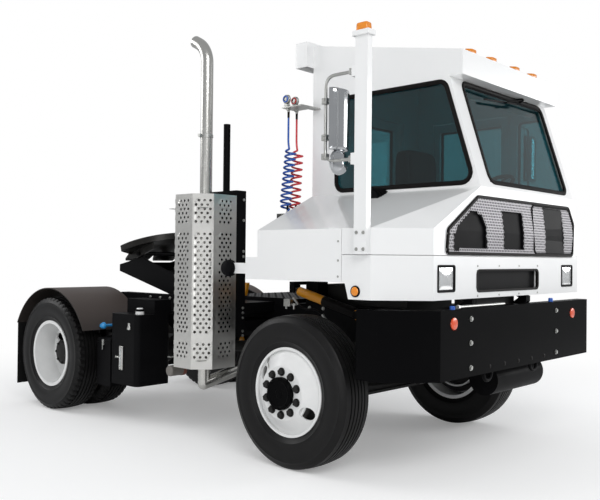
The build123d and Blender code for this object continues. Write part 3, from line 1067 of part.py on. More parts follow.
for y in ROOF_LAMP_YS:
    low = ROOF_FRONT_Z + roof_slope * (ROOF_FRONT_X - ROOF_LAMP_X)
    lamps.append(box(ROOF_LAMP_X - ROOF_LAMP[0] / 2, ROOF_LAMP_X + ROOF_LAMP[0] / 2, y - ROOF_LAMP[1] / 2,
                     y + ROOF_LAMP[1] / 2, low - ROOF_LAMP[2], low + ROOF_LAMP[2]) - roof_top)
save("lamp_panel", lamp_panel)

# Intake on the hood against the cab's wall
INTAKE_X = 140.0
INTAKE_Z = 1820.0
INTAKE_R = 105.0
INTAKE_Y = -480.0
intake = bar(INTAKE_R, (INTAKE_X, INTAKE_Y, INTAKE_Z), (INTAKE_X, CAB_RIGHT_Y, INTAKE_Z))
save("air_intake", intake - high_block - low_block)

# Mirror post with its lamp, mirror arms and heads
POST_X0 = 634.0
POST_X1 = 728.0
POST_DEPTH = 45.0
POST_Y0 = COWL_SIDE_Y - POST_DEPTH
POST_PAST = 79.0              # how far the post rises past the eave
POST_TOP = EAVE_Z + POST_PAST
POST_CAP = 15.0
POST_CAP_T = 30.0
POST_LAMP_H = 45.0
post_y1 = COWL_SIDE_Y
post = box(POST_X0, POST_X1, POST_Y0, post_y1, LAMP_PANEL_TOP + PANEL_GAP / 2, POST_TOP)
cap = box(POST_X0 - POST_CAP, POST_X1 + POST_CAP, POST_Y0 - POST_CAP, post_y1 + POST_CAP, POST_TOP, POST_TOP + POST_CAP_T)
save("mirror_post", post + cap)
lamps.append(box(POST_X0, POST_X1, POST_Y0, post_y1, POST_TOP + POST_CAP_T, POST_TOP + POST_CAP_T + POST_LAMP_H))
save("lamps", Compound(children=lamps))
ARM_R = 10.0
ARM_X = 383.0
ARM_DROP = 204.0              # from the post's top to the upper arm
ARM_SPAN = 535.0
ARM_HIGH = POST_TOP - ARM_DROP
ARM_LOW = ARM_HIGH - ARM_SPAN
HEAD_W = 178.0
HEAD_H = 390.0
HEAD_T = 45.0
HEAD_EDGE_R = 22.0
HEAD_X = 428.0
HEAD_IN = 95.0                # from the post's outer face to the head's middle
HEAD_Y = POST_Y0 + HEAD_IN
HEAD_Z = (ARM_HIGH + ARM_LOW) / 2
CONVEX_R = 82.0
arm_y = (POST_Y0 + post_y1) / 2
left_head_y = CAB_LEFT_Y + HEAD_W
left_x = DOOR_FRONT_X + DOOR_EDGE


def bent_arm(start, corner_one, corner_two, finish):
    """A tube bracket of three straight runs with round corners."""
    return fused([bar(ARM_R, start, corner_one), Pos(*corner_one) * Sphere(ARM_R), bar(ARM_R, corner_one, corner_two),
                  Pos(*corner_two) * Sphere(ARM_R), bar(ARM_R, corner_two, finish)])


def mirror_head(x, y):
    """A tall flat mirror's housing with round corners, its glass to the rear."""
    head = box(x, x + HEAD_T, y - HEAD_W / 2, y + HEAD_W / 2, HEAD_Z - HEAD_H / 2, HEAD_Z + HEAD_H / 2)
    return fillet(head.edges().filter_by(Axis.X), HEAD_EDGE_R)


right_mirrors = fused([
    bent_arm((POST_X0, arm_y, ARM_HIGH), (ARM_X, arm_y, ARM_HIGH), (ARM_X, arm_y, ARM_LOW), (POST_X0, arm_y, ARM_LOW)),
    box(ARM_X, HEAD_X, arm_y - ARM_R, arm_y + ARM_R, HEAD_Z - ARM_R, HEAD_Z + ARM_R),
    mirror_head(HEAD_X, HEAD_Y),
    bar(CONVEX_R, (HEAD_X, HEAD_Y, ARM_LOW), (HEAD_X + HEAD_T, HEAD_Y, ARM_LOW)),
])
left_mirrors = fused([
    bent_arm((left_x, CAB_LEFT_Y, ARM_HIGH), (left_x, left_head_y, ARM_HIGH), (left_x, left_head_y, ARM_LOW),
             (left_x, CAB_LEFT_Y, ARM_LOW)),
    mirror_head(left_x, left_head_y),
])
save("mirrors", Compound(children=[right_mirrors, left_mirrors]))

# Seat, dashboard and steering wheel
SEAT_X0 = -260.0
SEAT_X1 = 220.0
SEAT_INSET = 280.0            # from the cab's left wall to the seat
SEAT_W = 480.0
SEAT_Y1 = CAB_LEFT_Y - SEAT_INSET
SEAT_Y0 = SEAT_Y1 - SEAT_W
CUSHION_R = 40.0
SEAT_Z = 1720.0
CUSHION_T = 110.0
BACK_T = 120.0
BACK_TOP = 2330.0
PEDESTAL = 80.0


def cushion(x0, x1, z0, z1):
    """A cushion across the seat's width, its edges rounded."""
    pad = box(x0, x1, SEAT_Y0, SEAT_Y1, z0, z1)
    return fillet(pad.edges(), CUSHION_R)


save("seat", fused([
    box(SEAT_X0 + PEDESTAL, SEAT_X1 - PEDESTAL, SEAT_Y0 + PEDESTAL, SEAT_Y1 - PEDESTAL, CAB_BOTTOM + FLOOR_T,
        SEAT_Z - CUSHION_T + CUSHION_R),
    cushion(SEAT_X0, SEAT_X1, SEAT_Z - CUSHION_T, SEAT_Z),
    cushion(SEAT_X0, SEAT_X0 + BACK_T, SEAT_Z - CUSHION_T / 2, BACK_TOP),
]))
DASH_X0 = 640.0
DASH_DROP = 15.0              # from the sill to the dashboard's top
DASH_H = 290.0
DASH_TOP = SILL_Z - DASH_DROP
DASH_LOW = DASH_TOP - DASH_H
dash = box(DASH_X0, CAB_FRONT_X - WALL, CAB_RIGHT_Y + WALL, CAB_LEFT_Y - WALL, DASH_LOW, DASH_TOP)
save("dashboard", dash)
STEER_Y = (SEAT_Y0 + SEAT_Y1) / 2
STEER_X = 480.0
STEER_Z = 1960.0
STEER_R = 220.0
STEER_RIM = 15.0
STEER_TILT = 30.0
COLUMN_Z = 1760.0
lean = Pos(STEER_X, STEER_Y, STEER_Z) * Rot(0, -STEER_TILT, 0)
steering = lean * Torus(STEER_R, STEER_RIM) + lean * Cylinder(PIN_R * 2, STEER_RIM * 2)
for turn in (0, 120, 240):
    spoke = Rot(0, 0, turn) * (Pos(STEER_R / 2, 0, 0) * Box(STEER_R, STEER_RIM * 2, STEER_RIM / 2))
    steering = steering + lean * spoke
steering = steering + bar(PIN_R, (STEER_X, STEER_Y, STEER_Z), (DASH_X0 + PIN_R, STEER_Y, COLUMN_Z))
save("steering_wheel", steering - dash)

# Air hoses at the cab's rear right corner
BLOCK_X0 = -700.0
BLOCK_X1 = -600.0
BLOCK_Y0 = -540.0
BLOCK_Y1 = -350.0
BLOCK_Z0 = 1660.0
BLOCK_Z1 = 1760.0
BLOCK_ARM_Y = (-480.0, -460.0)
HOLDER_X0 = -670.0
HOLDER_X1 = -460.0
HOLDER_TURN_X = -530.0
HOLDER_TURN_Y = -370.0
HOLDER_Y0 = -525.0
HOLDER_DROP = 90.0            # from the eave to the plate that holds the leads
HOLDER_Z = EAVE_Z - HOLDER_DROP
HOLDER_T = 10.0
HOSE_R = 7.0
COIL_R = 46.0
COIL_TOP = 2290.0
COIL_X = -630.0
HOSES = (("red", -395.0), ("blue", -490.0))
holder = (box(HOLDER_X0, HOLDER_X1, HOLDER_Y0, HOLDER_TURN_Y, HOLDER_Z, HOLDER_Z + HOLDER_T)
          + box(HOLDER_TURN_X, HOLDER_X1, HOLDER_TURN_Y, CAB_RIGHT_Y, HOLDER_Z, HOLDER_Z + HOLDER_T))
air_block = box(BLOCK_X0, BLOCK_X1, BLOCK_Y0, BLOCK_Y1, BLOCK_Z0, BLOCK_Z1)
block_arm = box(BLOCK_X1, SIDE_REAR_X, *BLOCK_ARM_Y, BLOCK_Z0, BLOCK_Z1) - high_block
block_arm = block_arm & box(BLOCK_X1, CAB_REAR_X + BLOCK_Z1 - BLOCK_Z0, *BLOCK_ARM_Y, BLOCK_Z0, BLOCK_Z1)
save("hose_brackets", Compound(children=[holder, air_block + block_arm]))
for word, y in HOSES:
    save(f"{word}_air_hose_coil", bar(COIL_R, (COIL_X, y, BLOCK_Z1), (COIL_X, y, COIL_TOP)))
save("air_hose_leads", Compound(children=[bar(HOSE_R, (COIL_X, y, COIL_TOP), (COIL_X, y, HOLDER_Z)) for word, y in HOSES]))

# Boom, fifth wheel and lift cylinders, raised as the tractor stands
BOOM_PLATE_T = 20.0
BOOM_REAR_X = -3190.0
BOOM_REAR_LOW = 1262.0
BOOM_REAR_HIGH = 1330.0
BOOM_NOSE_R = 75.0
CROSS_TUBE_R = 45.0
LIFT_EYE_X = -2450.0
LIFT_EYE_Z = 1100.0
LIFT_PIN_R = 18.0
PLATE_PIN_REACH = 40.0
boom_outline = [(BOOM_PIVOT_X + BOOM_NOSE_R, BOOM_PIVOT_Z - BOOM_NOSE_R / 2), (BOOM_PIVOT_X, BOOM_PIVOT_Z - BOOM_NOSE_R),
                (BOOM_REAR_X, BOOM_REAR_LOW), (BOOM_REAR_X, BOOM_REAR_HIGH),
                (PLATE_PIVOT_X - LUG_R, PLATE_PIVOT_Z - LUG_R), (PLATE_PIVOT_X - LUG_R, PLATE_PIVOT_Z + PIN_R),
                (PLATE_PIVOT_X + LUG_R, PLATE_PIVOT_Z + PIN_R), (PLATE_PIVOT_X + LUG_R, PLATE_PIVOT_Z - LUG_R),
                (LIFT_EYE_X + LUG_R, LIFT_EYE_Z + LUG_R * 4),
                (BOOM_PIVOT_X, BOOM_PIVOT_Z + BOOM_NOSE_R), (BOOM_PIVOT_X + BOOM_NOSE_R, BOOM_PIVOT_Z + BOOM_NOSE_R / 2)]
# Bars across the boom: x, z, radius, reach past the plates
BOOM_BARS = ((BOOM_PIVOT_X - CROSS_TUBE_R * 4, BOOM_PIVOT_Z + CROSS_TUBE_R, CROSS_TUBE_R, 0.0),
             (LIFT_EYE_X, LIFT_EYE_Z, LIFT_PIN_R, 0.0),
             (BOOM_REAR_X + CROSS_TUBE_R * 3, BOOM_REAR_HIGH - CROSS_TUBE_R / 2, CROSS_TUBE_R, 0.0),
             (PLATE_PIVOT_X, PLATE_PIVOT_Z, PIN_R, PLATE_PIN_REACH))
boom = fused([slab(boom_outline, s * (BOOM_HALF_W - BOOM_PLATE_T), s * BOOM_HALF_W) for s in (-1, 1)]
             + [bar(r, (x, -BOOM_HALF_W - reach, z), (x, BOOM_HALF_W + reach, z)) for x, z, r, reach in BOOM_BARS])
for s in (-1, 1):
    boom = boom - bar(PIN_R + FIT, (BOOM_PIVOT_X, s * (BOOM_HALF_W - BOOM_PLATE_T - OVERRUN), BOOM_PIVOT_Z),
                      (BOOM_PIVOT_X, s * (BOOM_HALF_W + OVERRUN), BOOM_PIVOT_Z))
save("lift_boom", boom)

THROAT_HALF = 27.0
THROAT_MOUTH = 230.0
THROAT_NECK_X = -150.0
THROAT_END_X = -700.0
PLATE_RISE = 45.0
PLATE_CREST = 10.0            # from the jaw's centre back to where the ramps begin
RAMP_TAPER_X = -70.0
RAMP_END_X = -184.0
RAMP_DROP = 80.0
RAMP_TIP_T = 22.0
RAMP_HALF_W = 300.0
SKIRT_REAR_X = -170.0
SKIRT_FRONT_X = 240.0
SKIRT_EDGE_Z = -20.0
PLATE_SHIFT = -70.0           # jaw centre behind the pivot pin, so that the plate rests tail down
plate = Pos(0, 0, PLATE_RISE) * Cylinder(PLATE_R, PLATE_T, align=(Align.CENTER, Align.CENTER, Align.MIN))
plate = plate - slab_z([(-PLATE_R, -PLATE_R), (-PLATE_CREST, -PLATE_R), (-PLATE_CREST, PLATE_R), (-PLATE_R, PLATE_R)],
                       PLATE_RISE - OVERRUN, PLATE_RISE + PLATE_T + OVERRUN)
plate_top = PLATE_RISE + PLATE_T
ramp_tip = plate_top - RAMP_DROP
ramps = slab([(0, PLATE_RISE), (0, plate_top), (-PLATE_CREST, plate_top), (RAMP_END_X, ramp_tip),
              (RAMP_END_X, ramp_tip - RAMP_TIP_T), (-PLATE_CREST, PLATE_RISE)], -PLATE_R, PLATE_R)
ramp_plan = slab_z([(0, -PLATE_R), (0, PLATE_R), (-PLATE_CREST, PLATE_R), (RAMP_TAPER_X, RAMP_HALF_W),
                    (RAMP_END_X, RAMP_HALF_W), (RAMP_END_X, -RAMP_HALF_W), (RAMP_TAPER_X, -RAMP_HALF_W),
                    (-PLATE_CREST, -PLATE_R)], ramp_tip - RAMP_TIP_T * 2, plate_top + OVERRUN)
disc_edge = Cylinder(PLATE_R, PLATE_T * 6)
plate = plate + (ramps & ramp_plan & disc_edge)
plate = plate - slab_z([(THROAT_END_X, -THROAT_MOUTH), (THROAT_NECK_X, -THROAT_HALF), (0, -THROAT_HALF),
                        (0, THROAT_HALF), (THROAT_NECK_X, THROAT_HALF), (THROAT_END_X, THROAT_MOUTH)],
                       ramp_tip - RAMP_TIP_T * 2, plate_top + OVERRUN)
plate = Pos(PLATE_SHIFT, 0, 0) * (plate - Cylinder(THROAT_HALF, PLATE_T * 6))
for s in (-1, 1):
    plate = plate + slab([(SKIRT_REAR_X, PLATE_RISE), (SKIRT_FRONT_X, PLATE_RISE), (SKIRT_FRONT_X, SKIRT_EDGE_Z),
                          (PIN_R * 3 / 2, -PIN_R * 3 / 2), (-PIN_R * 3 / 2, -PIN_R * 3 / 2), (SKIRT_REAR_X, 0)],
                         s * (BOOM_HALF_W + GAP), s * (BOOM_HALF_W + GAP + LUG_T))
for s in (-1, 1):
    plate = plate - bar(PIN_R + FIT, (0, s * BOOM_HALF_W, 0), (0, s * (BOOM_HALF_W + OVERRUN * 2), 0))
plate_place = Pos(PLATE_PIVOT_X, 0, PLATE_PIVOT_Z) * Rot(0, -PLATE_TILT, 0)
save("fifth_wheel_plate", plate_place * plate)


class CylinderLine:
    """Straight line of a hydraulic cylinder from its foot pin to its rod's eye, in one Y plane."""

    def __init__(self, foot, head, y):
        self.foot, self.y = Vector(foot[0], y, foot[1]), y
        self.reach = Vector(head[0], y, head[1]) - self.foot

    def at(self, share):
        """The point at a share of the way to the rod's eye."""
        place = self.foot + self.reach * share
        return (place.X, place.Y, place.Z)


def across(radius, place, half):
    """A round bar along Y through a point."""
    return bar(radius, (place[0], place[1] - half, place[2]), (place[0], place[1] + half, place[2]))


ROD_R = 25.0
LIFT_EYE_R = 40.0
BARREL_SHARE = 0.78
TILT_SHARE = 0.92
HOLLOW_SHARE = 0.06
LIFT_ROD_SHARE = 0.23         # leaves the rod room to slide in as the boom goes down
TILT_ROD_SHARE = 0.07
EYE_SLACK = 7.0               # the eye's hole is wide, so that it follows its pin with a straight ratio


def barrel(line, radius, rod_r, pin_r, half, tube_share):
    """Foot eye and tube of a cylinder, bored for its rod and its pin."""
    foot_place = line.at(0)
    body = across(radius, foot_place, half) + bar(radius, foot_place, line.at(tube_share))
    body = body - bar(rod_r + FIT, line.at(HOLLOW_SHARE), line.at(1))
    return body - across(pin_r + FIT, foot_place, half * 2)


def rod(line, rod_r, eye_r, pin_r, half, start_share):
    """Rod with the eye at its end, the pin hole a little wide."""
    head_place = line.at(1)
    body = bar(rod_r, line.at(start_share), head_place) + across(eye_r, head_place, half)
    return body - across(pin_r + EYE_SLACK, head_place, half * 2)


lift_lines = [CylinderLine((LIFT_BASE_X, LIFT_BASE_Z), (LIFT_EYE_X, LIFT_EYE_Z), side * LIFT_Y) for side in (-1, 1)]
save("lift_cylinder_barrels", Compound(children=[barrel(line, LIFT_BARREL_R, ROD_R, PIN_R, BARREL_HALF_W, BARREL_SHARE)
                                                 for line in lift_lines]))
save("lift_cylinder_rods", Compound(children=[rod(line, ROD_R, LIFT_EYE_R, LIFT_PIN_R, ROD_R, LIFT_ROD_SHARE)
                                             for line in lift_lines]))
tilt_line = CylinderLine(TILT_FOOT, TILT_HEAD, TILT_Y)
save("cab_tilt_barrel", barrel(tilt_line, TILT_R, TILT_ROD_R, TILT_PIN_R, TILT_R, TILT_SHARE))
save("cab_tilt_rod", rod(tilt_line, TILT_ROD_R, TILT_BEAM_H, TILT_PIN_R - EYE_SLACK, TILT_ROD_R, TILT_ROD_SHARE))

os.makedirs("parts", exist_ok=True)
for node, shape in parts.items():
    export_step(shape, f"parts/{node}.step")
print(len(parts), "nodes written")
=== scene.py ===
# %% [markdown]
# # A terminal tractor, dressed piece by piece
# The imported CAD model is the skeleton: every wall, wheel and beam is already where it belongs.
# These cells give it its finishes and the pieces that are too fine for CAD, such as tyre ribs, perforated
# sheet, window rubbers, lamps and coiled hoses. Units are metres: X is forward, Y is to the left and Z is up.

# %% Load the frame
import json
import math

import bpy
import numpy as np
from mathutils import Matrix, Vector


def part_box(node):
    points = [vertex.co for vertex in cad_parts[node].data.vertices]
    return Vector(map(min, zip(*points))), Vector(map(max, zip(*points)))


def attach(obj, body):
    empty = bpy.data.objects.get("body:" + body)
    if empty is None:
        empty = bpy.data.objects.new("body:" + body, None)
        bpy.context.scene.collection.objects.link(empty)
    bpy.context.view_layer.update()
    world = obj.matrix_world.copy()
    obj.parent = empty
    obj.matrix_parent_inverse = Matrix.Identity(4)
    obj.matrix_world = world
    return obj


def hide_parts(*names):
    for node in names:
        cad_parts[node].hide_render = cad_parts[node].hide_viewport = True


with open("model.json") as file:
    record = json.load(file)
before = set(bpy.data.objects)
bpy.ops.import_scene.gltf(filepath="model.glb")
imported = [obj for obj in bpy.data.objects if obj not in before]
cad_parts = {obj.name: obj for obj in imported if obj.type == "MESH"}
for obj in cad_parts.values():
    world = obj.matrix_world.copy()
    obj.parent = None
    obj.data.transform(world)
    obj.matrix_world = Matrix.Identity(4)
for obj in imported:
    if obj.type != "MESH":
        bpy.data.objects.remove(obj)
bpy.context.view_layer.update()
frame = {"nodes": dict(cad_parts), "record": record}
nodes = frame["nodes"]

# %% [markdown]
# ## The camera
# The photograph was taken from the right front corner, standing, with a normal lens. The place and the
# angles below were fitted to the wheels, the post and the bumper, whose real sizes are known.

# %% Camera
CAMERA_PLACE = Vector((3.534, -4.894, 1.414))
YAW, PITCH, ROLL = (math.radians(a) for a in (47.557, -0.587, 0.576))
LENS_MM, SENSOR_MM = 46.2, 36.0


def camera_axes(yaw, pitch, roll):
    """Forward, right and up of a camera that looks along -X at yaw 0 and turns towards +Y."""
    forward = Vector((-math.cos(yaw) * math.cos(pitch), math.sin(yaw) * math.cos(pitch), -math.sin(pitch)))
    right = Vector((math.sin(yaw), math.cos(yaw), 0))
    up = right.cross(forward)
    return forward, right * math.cos(roll) + up * math.sin(roll), up * math.cos(roll) - right * math.sin(roll)


forward, right, up = camera_axes(YAW, PITCH, ROLL)
camera = bpy.data.objects.new("camera", bpy.data.cameras.new("camera"))
bpy.context.scene.collection.objects.link(camera)
camera.data.lens, camera.data.sensor_width = LENS_MM, SENSOR_MM
turn = camera.matrix_world.to_3x3()
for row in range(3):
    turn[row][0], turn[row][1], turn[row][2] = right[row], up[row], -forward[row]
camera.matrix_world = turn.to_4x4()
camera.location = CAMERA_PLACE
bpy.context.scene.camera = camera

# %% [markdown]
# ## The studio
# A pale floor, a pale sky and four large soft lamps: a key, a wall of light on the left and one behind,
# which keep the enamel even, and a low fill that reaches under the hood.

# %% Colours and nodes
def linear(code):
    """An sRGB hex colour as linear red, green, blue and alpha."""
    parts = np.array([int(code[i:i + 2], 16) for i in (0, 2, 4)]) / 255
    bright = np.where(parts <= 0.04045, parts / 12.92, ((parts + 0.055) / 1.055) ** 2.4)
    return (*bright.tolist(), 1.0)


def add_node(tree, kind, inputs=None, **settings):
    """Add one node: settings are its properties, inputs are values or sockets for its own sockets."""
    node = tree.nodes.new(kind)
    for name, value in settings.items():
        setattr(node, name, value)
    for key, value in (inputs or {}).items():
        if isinstance(value, bpy.types.NodeSocket):
            tree.links.new(value, node.inputs[key])
        else:
            node.inputs[key].default_value = value
    return node


def new_material(name):
    """An empty node material with its surface output."""
    material = bpy.data.materials.new(name)
    material.use_nodes = True
    material.node_tree.nodes.clear()
    return material, material.node_tree, add_node(material.node_tree, "ShaderNodeOutputMaterial")


# %% Floor, sky and lamps
def ghost_white(tree, surface, output, fade=None):
    """White to the camera, and the given surface to every other ray. fade holds two distances from
    the object: the floor is plain within the first and all white beyond the second, so it has no horizon."""
    seen = add_node(tree, "ShaderNodeLightPath").outputs["Is Camera Ray"]
    if fade:
        place = add_node(tree, "ShaderNodeNewGeometry").outputs["Position"]
        away = add_node(tree, "ShaderNodeVectorMath", {0: place, 1: (-1.2, 0, 0)}, operation="DISTANCE")
        share = add_node(tree, "ShaderNodeMapRange", {"Value": away.outputs["Value"], "From Min": fade[0],
                                                      "From Max": fade[1]}, interpolation_type="SMOOTHSTEP")
        seen = add_node(tree, "ShaderNodeMath", {0: seen, 1: share.outputs[0]}, operation="MULTIPLY").outputs[0]
    white = add_node(tree, "ShaderNodeBackground" if output.bl_idname.endswith("World") else "ShaderNodeEmission",
                     {"Color": (1, 1, 1, 1), "Strength": 1.0})
    mix = add_node(tree, "ShaderNodeMixShader", {0: seen, 1: surface, 2: white.outputs[0]})
    tree.links.new(mix.outputs[0], output.inputs["Surface"])


world = bpy.data.worlds.new("studio")
world.use_nodes = True
world.node_tree.nodes.clear()
sky = add_node(world.node_tree, "ShaderNodeBackground", {"Color": linear("F4F6F8"), "Strength": 0.52})
ghost_white(world.node_tree, sky.outputs[0], add_node(world.node_tree, "ShaderNodeOutputWorld"))
bpy.context.scene.world = world

floor_mesh = bpy.data.meshes.new("studio_floor")
FLOOR_HALF, FLOOR_GLOW = 30.0, 0.22
floor_mesh.from_pydata([(-FLOOR_HALF, -FLOOR_HALF, 0), (FLOOR_HALF, -FLOOR_HALF, 0), (FLOOR_HALF, FLOOR_HALF, 0),
                        (-FLOOR_HALF, FLOOR_HALF, 0)], [], [(0, 1, 2, 3)])
studio_floor = bpy.data.objects.new("studio_floor", floor_mesh)
bpy.context.scene.collection.objects.link(studio_floor)
paint, tree, output = new_material("studio_floor_paint")
seen = add_node(tree, "ShaderNodeLightPath").outputs["Is Camera Ray"]
glow = add_node(tree, "ShaderNodeMath", {0: seen, 1: FLOOR_GLOW}, operation="MULTIPLY")
matt = add_node(tree, "ShaderNodeBsdfPrincipled", {
    "Base Color": linear("F4F4F4"), "Roughness": 0.9, "Specular IOR Level": 0.0, "Emission Color": (1, 1, 1, 1),
    "Emission Strength": glow.outputs[0]})
ghost_white(tree, matt.outputs[0], output, fade=(2.6, 6.5))
floor_mesh.materials.append(paint)

# name, place, aim, width, height, watts
LAMPS = (
    ("key", (6.5, -5.5, 6.5), (-0.6, 0.0, 1.2), 5.0, 3.5, 345.0),
    ("left_wall", (5.0, 6.0, 2.9), (0.0, 0.0, 1.4), 4.0, 2.8, 190.0),
    ("rear_wall", (-7.5, -4.5, 5.0), (-1.5, 0.0, 1.2), 4.5, 3.0, 150.0),
    ("low_fill", (1.2, -8.0, 1.4), (-0.6, 0.0, 0.8), 5.0, 1.6, 60.0),
)
for name, place, aim, width, height, watts in LAMPS:
    light = bpy.data.lights.new(name, "AREA")
    light.shape, light.size, light.size_y, light.energy = "RECTANGLE", width, height, watts
    lamp = bpy.data.objects.new(name, light)
    bpy.context.scene.collection.objects.link(lamp)
    lamp.location = place
    lamp.rotation_euler = (Vector(aim) - Vector(place)).to_track_quat("-Z", "Y").to_euler()
bpy.context.scene.view_settings.view_transform = "Standard"

# %% [markdown]
# ## Finishes
# Each finish is named for what it is and how it was made. They share one recipe: a base colour that
# wanders a little between two tones, a roughness that wanders with it, and a bump at a real scale.

# %% The finish recipe
MM = 0.001


def finish(name, tones, rough, metal=0.0, tone_mm=400.0, bump_mm=1.0, bump=0.0, coat=0.0, stretch=(1, 1, 1),
           edge=None, dust=None, gloss=0.5, sheen=0.0):
    """A solid finish. tones are two sRGB colours that a slow noise mixes, rough is the low and high
    roughness, bump_mm the spacing of the grain and bump its strength. stretch draws the grain out along
    an axis. edge lightens worn edges to a colour, dust lays a paler tone on faces that look up, and gloss is
    the strength of the plain reflection."""
    material, tree, output = new_material(name)
    where = add_node(tree, "ShaderNodeTexCoord").outputs["Object"]
    slow = add_node(tree, "ShaderNodeTexNoise", {"Vector": where, "Scale": 1 / (tone_mm * MM), "Detail": 5.0,
                                                 "Roughness": 0.6})


    def mixed(share, under, over):
        """One colour over another by a share."""
        return add_node(tree, "ShaderNodeMix", {"Factor": share, 6: under, 7: over}, data_type="RGBA").outputs[2]

    colour = mixed(slow.outputs["Fac"], linear(tones[0]), linear(tones[1]))
    if dust:
        facing = add_node(tree, "ShaderNodeNewGeometry").outputs["Normal"]
        lift = add_node(tree, "ShaderNodeSeparateXYZ", {0: facing}).outputs["Z"]
        cover = add_node(tree, "ShaderNodeMapRange", {"Value": lift, "From Min": 0.3, "To Max": dust[1]})
        colour = mixed(cover.outputs[0], colour, linear(dust[0]))
    if edge:
        point = add_node(tree, "ShaderNodeNewGeometry").outputs["Pointiness"]
        worn = add_node(tree, "ShaderNodeMapRange", {"Value": point, "From Min": 0.53, "From Max": 0.62,
                                                     "To Max": 0.6})
        colour = mixed(worn.outputs[0], colour, linear(edge))
    dull = add_node(tree, "ShaderNodeMapRange", {"Value": slow.outputs["Fac"], "To Min": rough[0],
                                                 "To Max": rough[1]})
    surface = add_node(tree, "ShaderNodeBsdfPrincipled", {
        "Base Color": colour, "Roughness": dull.outputs[0], "Metallic": metal, "Coat Weight": coat,
        "Sheen Weight": sheen, "Coat Roughness": 0.08, "Specular IOR Level": gloss})
    if bump:
        spread = add_node(tree, "ShaderNodeMapping", {"Vector": where, "Scale": stretch})
        grain = add_node(tree, "ShaderNodeTexNoise", {"Vector": spread.outputs[0], "Scale": 1 / (bump_mm * MM),
                                                      "Detail": 3.0})
        relief = add_node(tree, "ShaderNodeBump", {"Height": grain.outputs["Fac"], "Strength": bump,
                                                   "Distance": bump_mm * MM / 4})
        tree.links.new(relief.outputs[0], surface.inputs["Normal"])
    tree.links.new(surface.outputs[0], output.inputs["Surface"])
    return material


# Sprayed enamel over steel: even, with orange peel a few millimetres wide under a clear coat
WHITE_ENAMEL = finish("sprayed_white_enamel", ("E9EAEB", "F1F1F0"), (0.24, 0.34), bump_mm=6, bump=0.05, coat=0.5,
                      tone_mm=900)
# The same enamel on the pressed wheel discs, duller and with brake dust in it
WHEEL_ENAMEL = finish("wheel_white_enamel", ("DADBDB", "ECECEB"), (0.32, 0.45), bump_mm=5, bump=0.06, coat=0.2,
                      tone_mm=120)
# Powder coat on the frame: black, slightly pebbled, with yard dust on what faces up
CHASSIS_BLACK = finish("black_powder_coat", ("09090A", "111113"), (0.34, 0.5), bump_mm=4, bump=0.12,
                       dust=("2C2B2A", 0.12), tone_mm=500, gloss=0.05)
BUMPER_BLACK = finish("black_bumper_paint", ("070708", "0E0E0F"), (0.24, 0.38), bump_mm=5, bump=0.06, gloss=0.02,
                      dust=("262624", 0.08), tone_mm=700)
FENDER_STEEL = finish("dusty_fender_steel", ("211D1B", "342E2B"), (0.4, 0.6), bump_mm=6, bump=0.12,
                      dust=("5E5450", 0.75), tone_mm=260, gloss=0.3)
# Carbon-black rubber: very dark and matt
TYRE_RUBBER = finish("tyre_rubber", ("0D0D0E", "181717"), (0.32, 0.5), bump_mm=3, bump=0.18, tone_mm=90, gloss=0.2)
SEAL_RUBBER = finish("extruded_black_rubber", ("0A0909", "13100F"), (0.42, 0.55), bump_mm=2, bump=0.06,
                     tone_mm=200, gloss=0.09)
FLAP_RUBBER = finish("ribbed_flap_rubber", ("0B0B0C", "141414"), (0.55, 0.7), bump_mm=5, bump=0.15,
                     tone_mm=150, gloss=0.2)
# Brushed stainless: the brush runs across the sheet, so the grain is drawn out along it
STAINLESS = finish("brushed_stainless_sheet", ("C9C8C4", "D9D8D5"), (0.24, 0.36), metal=1.0, bump_mm=1.5, bump=0.12,
                   stretch=(1, 1, 0.03), tone_mm=300)
MESH_STEEL = finish("dull_expanded_mesh", ("A3A1A4", "B8B6BA"), (0.4, 0.55), metal=0.3, bump_mm=1.5, bump=0.1,
                    tone_mm=60, gloss=0.4)
CHROME = finish("polished_chrome", ("B4B6B9", "C8CACC"), (0.06, 0.12), metal=1.0, tone_mm=200)
BRIGHT_PIPE = finish("aluminised_exhaust_steel", ("BDBCB8", "D2D1CD"), (0.2, 0.32), metal=1.0, bump_mm=2, bump=0.08,
                     stretch=(1, 1, 0.04), tone_mm=160)
ZINC = finish("zinc_plated_steel", ("A9AAA8", "C2C2BE"), (0.3, 0.42), metal=1.0, bump_mm=1, bump=0.08, tone_mm=40)
CAST_IRON = finish("painted_cast_iron", ("141414", "232221"), (0.5, 0.68), bump_mm=3, bump=0.35, tone_mm=80,
                   dust=("34322E", 0.15), gloss=0.25)
GREASED_STEEL = finish("greased_fifth_wheel_steel", ("121110", "2A2825"), (0.22, 0.5), metal=0.6, bump_mm=9, bump=0.3,
                       tone_mm=60)
YELLOW_ENAMEL = finish("yellow_enamel", ("D38A0A", "E59B14"), (0.3, 0.42), bump_mm=5, bump=0.06, coat=0.2)
BLACK_PLASTIC = finish("moulded_black_plastic", ("08080A", "101012"), (0.45, 0.58), bump_mm=1.2, bump=0.15,
                       tone_mm=150, gloss=0.05)
TRIM_PLASTIC = finish("grey_cab_trim", ("56616A", "67727A"), (0.5, 0.62), bump_mm=1.5, bump=0.15, tone_mm=200)
PRIMED_IRON = finish("red_primed_iron", ("6A3B30", "7D493B"), (0.45, 0.6), tone_mm=40)
GREY_ENAMEL = finish("grey_filter_enamel", ("6C6964", "7F7B76"), (0.3, 0.42), coat=0.2, tone_mm=100)
BLUE_NYLON = finish("blue_coiled_nylon", ("12469A", "1B59B8"), (0.24, 0.36), coat=0.2, tone_mm=60)
RED_NYLON = finish("red_coiled_nylon", ("C4202B", "DC3540"), (0.24, 0.36), coat=0.2, tone_mm=60)
SKY_CAP = finish("sky_blue_moulded_cap", ("2A8CCF", "3A9DDF"), (0.3, 0.42), coat=0.2, tone_mm=60)
